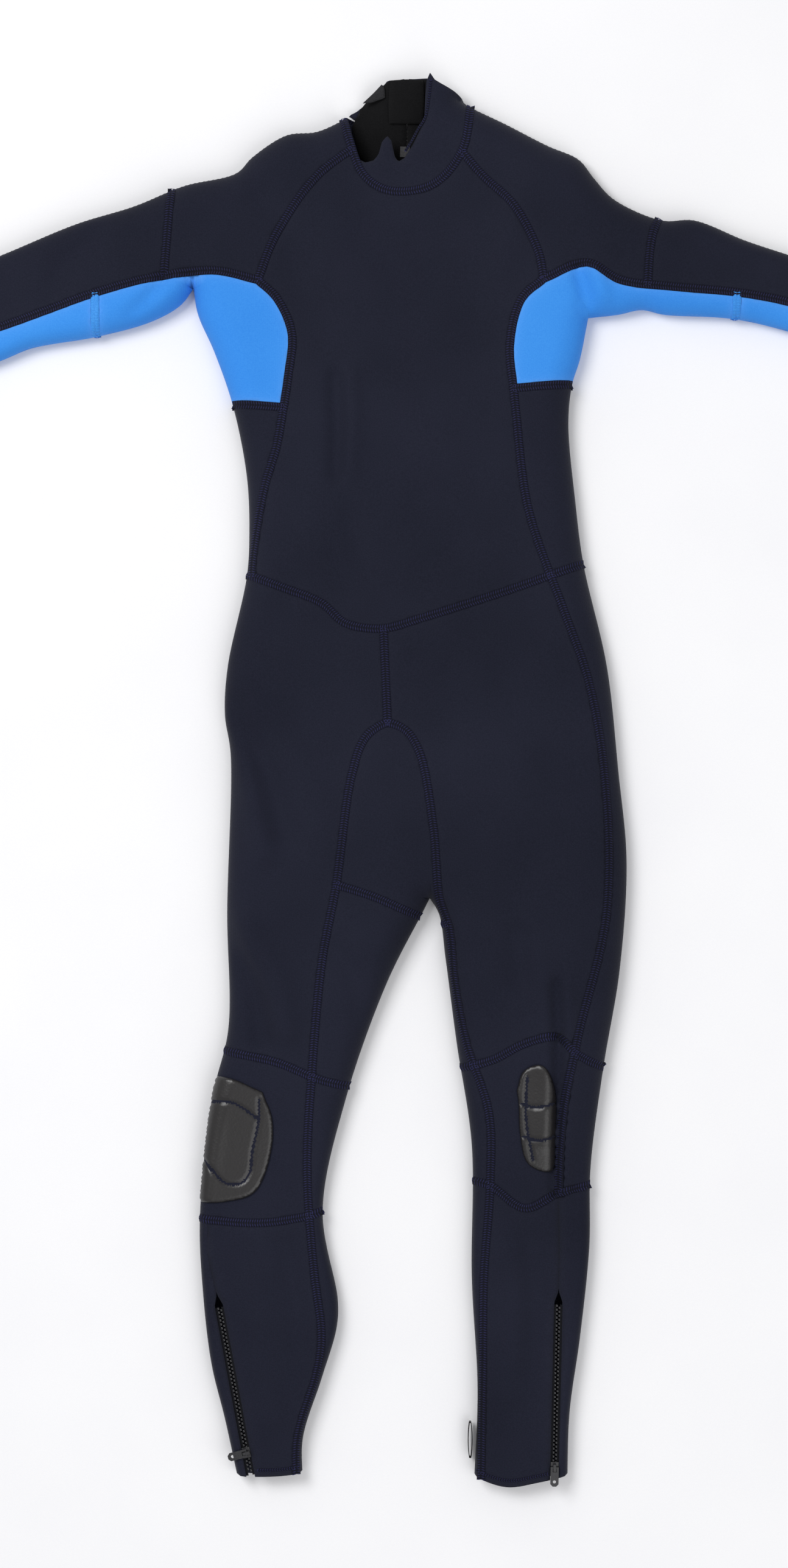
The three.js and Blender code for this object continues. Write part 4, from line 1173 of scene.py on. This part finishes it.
# ------------------------------------------------------------------ small pieces
@dataclass
class Trimmings:
    """Makes the collar, the knee pads, the ankle loop and the hems."""

    tailor: Tailor
    locks: Flatlock

    def finish_piece(self, obj: bpy.types.Object, node: str, thickness: float,
                     body: str = "suit") -> bpy.types.Object:
        self.tailor.thicken(obj, thickness)
        hand_over(obj, body, node)
        return obj

    def drawn_piece(self, node: str, points: list, layer: Layer, finish: Finish, over: float,
                    thickness: float, spacing: float = 2.5) -> bpy.types.Object:
        """A piece with a drawn outline that follows the padded shape.

        Args:
            node: the CAD node that it stands for.
            points: its outline on the flat pattern.
            layer: the layer that it lies on.
            finish: its finish.
            over: how far its face lies over the cloth's face, in millimetres.
            thickness: its thickness, in millimetres.
            spacing: the distance between its inner points.

        Returns:
            The piece.
        """
        region = Region.drawn(points, layer)
        usual, self.tailor.spacing = self.tailor.spacing, spacing
        obj = self.tailor.skin(f"{node}_cloth", [region], finish, over)
        self.tailor.spacing = usual
        return self.finish_piece(obj, node, thickness)

    def patch(self, node: str, points: list, heights: tuple, finish: Finish, thickness: float,
              body: str = "suit", bow: float = 0.5) -> bpy.types.Object:
        """A small flat piece that lies at its own height, softly bowed and with its face eased from its rim
        height to its middle height.

        Args:
            node: the CAD node that it stands for.
            points: its outline on the flat pattern.
            heights: the height of its face in the row frame at its rim and its middle, in millimetres.
            finish: its finish.
            thickness: its thickness, in millimetres.
            body: the body that it moves with.
            bow: how far its face ripples, in millimetres.

        Returns:
            The piece.
        """
        region = Region.drawn(points, Layer.FRONT)
        flat, faces, rim = region.fill(2.0)
        near = segment_distance(flat, region.ring, np.roll(region.ring, -1, axis=0) - region.ring)
        ripple = bow * np.sin(flat[:, 0] / 7 + flat[:, 1] / 11) * smooth(0, 4, near)
        z = heights[0] + (heights[1] - heights[0]) * smooth(0, 3, near) + ripple
        spots = np.column_stack([flat + self.tailor.shape.shift, z]) * MM
        obj = new_object(f"{node}_cloth", spots, faces, finish, self.tailor.shaders, rim)
        return self.finish_piece(obj, node, thickness, body)

    def collar(self) -> None:
        """The neck bands, their black linings, the closure flap and its hook tab."""
        front = PATTERN.curves["neck_front"]
        line = [tuple(p) for p in front[4:-4]]
        edge = [(51, 588), (45, 592), (39, 595), (33, 598), (28, 601), (24, 607), (21, 600), (20, 588),
                (19, 567), (16, 559), (9, 545), (2, 534), (-3, 531), (-6, 535), (-9, 549), (-12.5, 553),
                (-17, 548), (-20, 537), (-24, 532), (-31, 530), (-37, 533), (-42, 548)]
        self.drawn_piece("neck_band_front", line + edge, Layer.FRONT, NAVY, 0.0, CLOTH)
        right = [(2, 560), (2, 605), (-12, 604), (-17, 598), (-34, 582), (-46, 574), (-31, 566)]
        left = [(6, 605), (22, 606), (28, 601), (50, 588), (54, 583.5), (38, 570), (6, 561)]
        self.drawn_piece("neck_band_back_right", right, Layer.BACK, NAVY, 0.0, CLOTH)
        self.drawn_piece("neck_band_back_left", left, Layer.BACK, NAVY, 0.0, CLOTH)
        lined = [(4, 520), (4, 603), (-11, 602.5), (-17, 597), (-33, 581.5), (-43, 573.5), (-42, 560),
                 (-36, 540), (-22, 524)]
        self.drawn_piece("neck_lining_right", lined, Layer.BACK, BLACK, -4.8, 0.8)
        lined = [(4.6, 520), (4.6, 603.5), (22, 604.5), (28, 599), (47, 586), (46, 572), (40, 545), (24, 524)]
        self.drawn_piece("neck_lining_left", lined, Layer.BACK, BLACK, -4.8, 0.8)
        flap = [(-11, 566), (18, 565.5), (19, 584), (18.5, 603), (4, 604), (-10, 603), (-11.5, 585)]
        self.patch("neck_flap", flap, (14.6, 15.3), BLACK, 1.7, "collar_flap")
        hooks = [(-33.5, 583.5), (-24, 592.5), (-17, 600), (-15, 597), (-14.5, 588), (-26, 584)]
        self.patch("hook_tab", hooks, (14.3, 14.8), HOOK, 1.0, bow=0.1)

    def knee_pads(self) -> None:
        """The grained rubber pads on the outsides of the knees, with sewn grooves."""
        right = PATTERN.outline("pad_top_right pad_right outer_right")
        ring = np.vstack([points[:-1] for _, points, _, _ in right])
        grooves = [[(-170, -273), (-145, -272), (-124, -285)],
                   [(-122, -269), (-122, -285), (-128, -316), (-130, -332), (-137, -341), (-151, -341),
                    (-168, -322)]]
        self.knee_pad("knee_pad_right", ring, grooves)
        grooves = [[(99, -272), (115, -276), (131, -272)], [(100, -300), (116, -304), (131, -301)],
                   [(107, -250), (106, -285), (112, -322)]]
        self.knee_pad("knee_pad_left", PATTERN.curves["pad_left"][:-1], grooves)

    def knee_pad(self, node: str, ring: Points, grooves: list) -> None:
        """One knee pad: raised zones with valleys between them."""
        if area_of(ring) < 0:
            ring = ring[::-1]
        region = Region(ring, np.zeros(len(ring), bool), Layer.FRONT)
        flat, faces, _ = region.fill(1.8)
        near = segment_distance(flat, ring, np.roll(ring, -1, axis=0) - ring)
        valley = np.full(len(flat), 1e9)
        for groove in grooves:
            valley = np.minimum(valley, near_route(flat, curve(list(groove), step=3.0)))
        over = 1.5 + 1.1 * smooth(0, 2.4, near) - 1.3 * np.exp(-((valley / 1.5) ** 2))
        shape = self.tailor.shape
        lifted = shape.lift(flat, Layer.FRONT) + shape.normals(flat, Layer.FRONT) * over[:, None] * MM
        obj = new_object(f"{node}_cloth", lifted, faces, RUBBER, self.tailor.shaders)
        obj.data.materials.append(self.tailor.shaders.material(NAVY))
        middles = np.array([np.mean(valley[list(f)]) for f in faces])
        for polygon, middle in zip(obj.data.polygons, middles):
            polygon.material_index = 1 if middle < 1.1 else 0
        self.finish_piece(obj, node, 1.0)

    def ankle_loop(self) -> bpy.types.Object:
        """The webbing loop at the left ankle, a thin ribbon bent round on itself."""
        centre = np.array([58.6, -563.0]) + self.tailor.shape.shift
        turn = np.linspace(0, 2 * np.pi, 49)[:-1]
        route = np.column_stack([2.0 * np.cos(turn), np.clip(17.0 * np.sin(turn), -15.4, 15.4)])
        points, faces = [], []
        for k, (x, y) in enumerate(route):
            for z in (4.2, 6.0, 8.0, 10.0, 11.8):
                points.append(((centre[0] + x) * MM, (centre[1] + y) * MM, z * MM))
            for j in range(4):
                a, b = k * 5 + j, (k + 1) % len(route) * 5 + j
                faces.append((a, b, b + 1, a + 1))
        obj = new_object("ankle_loop_webbing", np.array(points), faces, TAPE, self.tailor.shaders)
        self.tailor.thicken(obj, 0.7)
        hand_over(obj, "suit", "ankle_loop")
        return obj

    def hems(self) -> None:
        """The stitched hems of the wrists, the ankles and the collar."""
        for side, across in (("right", 1), ("left", -1)):
            wrist = SeamRun(f"wrist_{side}", f"shoulder_{side}", f"outer_{side}", Layer.FRONT)
            self.locks.hem(f"wrist_hem_{side}", wrist, (across * 7, 2.6))
            ankle = SeamRun(f"hem_{side}", f"shin_side_{side}", "inner_legs", Layer.FRONT)
            self.locks.hem(f"ankle_hem_{side}", ankle, (0, 6))
        edge = spline([(3, 540), (8, 548), (14, 559), (19.5, 568), (23, 585), (24.5, 600)], 2.5)
        obj = self.locks.band("collar_edge_stitch", edge, Layer.FRONT, INDIGO, 2.2)
        hand_over(obj)


def finish_sliders_and_pulls(shaders: Shaders) -> None:
    """Gives the CAD sliders and pulls their rounded edges and moulded plastic."""
    for zip_name in ("ankle_zip_right", "ankle_zip_left", "back_zip"):
        for part in ("slider", "pull"):
            obj = bpy.data.objects[f"{zip_name}_{part}"]
            obj.data.materials.clear()
            obj.data.materials.append(shaders.material(PLASTIC))
            bevel = obj.modifiers.new("rounded", "BEVEL")
            bevel.width = 0.25 * MM
            bevel.segments = 2
            bevel.limit_method = "ANGLE"
            bevel.angle_limit = math.radians(40)


# ------------------------------------------------------------------ studio
@dataclass
class Studio:
    """The camera, the lights and the white floor of the photograph's view."""

    shaders: Shaders

    def camera(self) -> None:
        """A camera straight above, up towards the collar."""
        data = bpy.data.cameras.new("view")
        data.sensor_fit = "VERTICAL"
        data.sensor_height = 36
        data.lens = LENS
        obj = bpy.data.objects.new("view", data)
        obj.location = EYE
        bpy.context.scene.collection.objects.link(obj)
        bpy.context.scene.camera = obj

    def lamp(self, name: str, place: tuple, size: float, power: float) -> None:
        """A soft square lamp that points at the suit's middle."""
        data = bpy.data.lights.new(name, "AREA")
        data.shape = "SQUARE"
        data.size = size
        data.energy = power
        obj = bpy.data.objects.new(name, data)
        obj.location = place
        obj.rotation_euler = (-Vector(place)).to_track_quat("-Z", "Y").to_euler()
        bpy.context.scene.collection.objects.link(obj)

    def floor(self) -> None:
        """The white floor."""
        bpy.ops.object.select_all(action="DESELECT")
        bpy.ops.mesh.primitive_plane_add(size=9, location=(0, 0, 0))
        obj = bpy.context.object
        obj.name = "white_floor"
        obj.data.transform(Matrix.Translation((0, 0, -0.0009)))
        obj.data.materials.append(self.shaders.material(FLOOR))

    def build(self) -> None:
        """Sets up the whole studio."""
        self.camera()
        self.floor()
        self.lamp("key", (-1.6, 1.3, 3.0), 1.6, 72)
        self.lamp("fill", (1.4, -1.6, 2.8), 2.6, 34)
        world = bpy.data.worlds.new("studio")
        world.use_nodes = True
        world.node_tree.nodes["Background"].inputs["Color"].default_value = (1, 1, 1, 1)
        world.node_tree.nodes["Background"].inputs["Strength"].default_value = 0.46
        bpy.context.scene.world = world
        bpy.context.scene.view_settings.view_transform = "Standard"


# ------------------------------------------------------------------ the suit
@dataclass
class Wetsuit:
    """The whole suit, piece by piece."""

    shaders: Shaders
    shape: Padded

    def build(self) -> None:
        """Makes every piece of the suit."""
        tailor = Tailor(self.shape, self.shaders)
        locks = Flatlock(self.shape, self.shaders)
        trims = Trimmings(tailor, locks)
        for cut in cuts():
            tailor.panel(cut)
            LOG.info("panel %s", cut.node)
        for run in seam_runs():
            locks.sew(run)
        trims.collar()
        trims.knee_pads()
        trims.ankle_loop()
        trims.hems()
        self.zips()
        finish_sliders_and_pulls(self.shaders)

    def zips(self) -> None:
        """The three zips: teeth and tapes."""
        for name, line, face, back, outward in (
                ("ankle_zip_right", ANKLE_RIGHT, 20.0, False, -1),
                ("ankle_zip_left", ANKLE_LEFT, 20.0, False, 1),
                ("back_zip", SPINE, 7.0, True, 1)):
            work = Zip(name, line, face, self.shape, self.shaders, back)
            outer, inner = work.teeth()
            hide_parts(f"{name}_teeth_outer" if outward > 0 else f"{name}_teeth_inner")
            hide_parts(f"{name}_teeth_inner" if outward > 0 else f"{name}_teeth_outer")
            near = line.chain / 2 - 0.9
            rim = 11.0 if back else 1.2
            sizes = {1: rim if outward > 0 else 11.0, -1: rim if outward < 0 else 11.0}
            for sign in (1, -1):
                side = "outer" if sign == outward else "inner"
                far = line.chain / 2 + 0.35 + sizes[sign]
                low, high = sorted((sign * near, sign * far))
                work.strip(f"{name}_woven_{side}", low, high, 3.5, TAPE, (f"{name}_tape_{side}",))


def main() -> None:
    """Builds the suit and its studio."""
    logging.basicConfig(level=logging.INFO, format="%(name)s: %(message)s")
    shaders = Shaders()
    Studio(shaders).build()
    Wetsuit(shaders, Padded(np.array([2.650, -2.256]))).build()


if __name__ == "__main__":
    main()
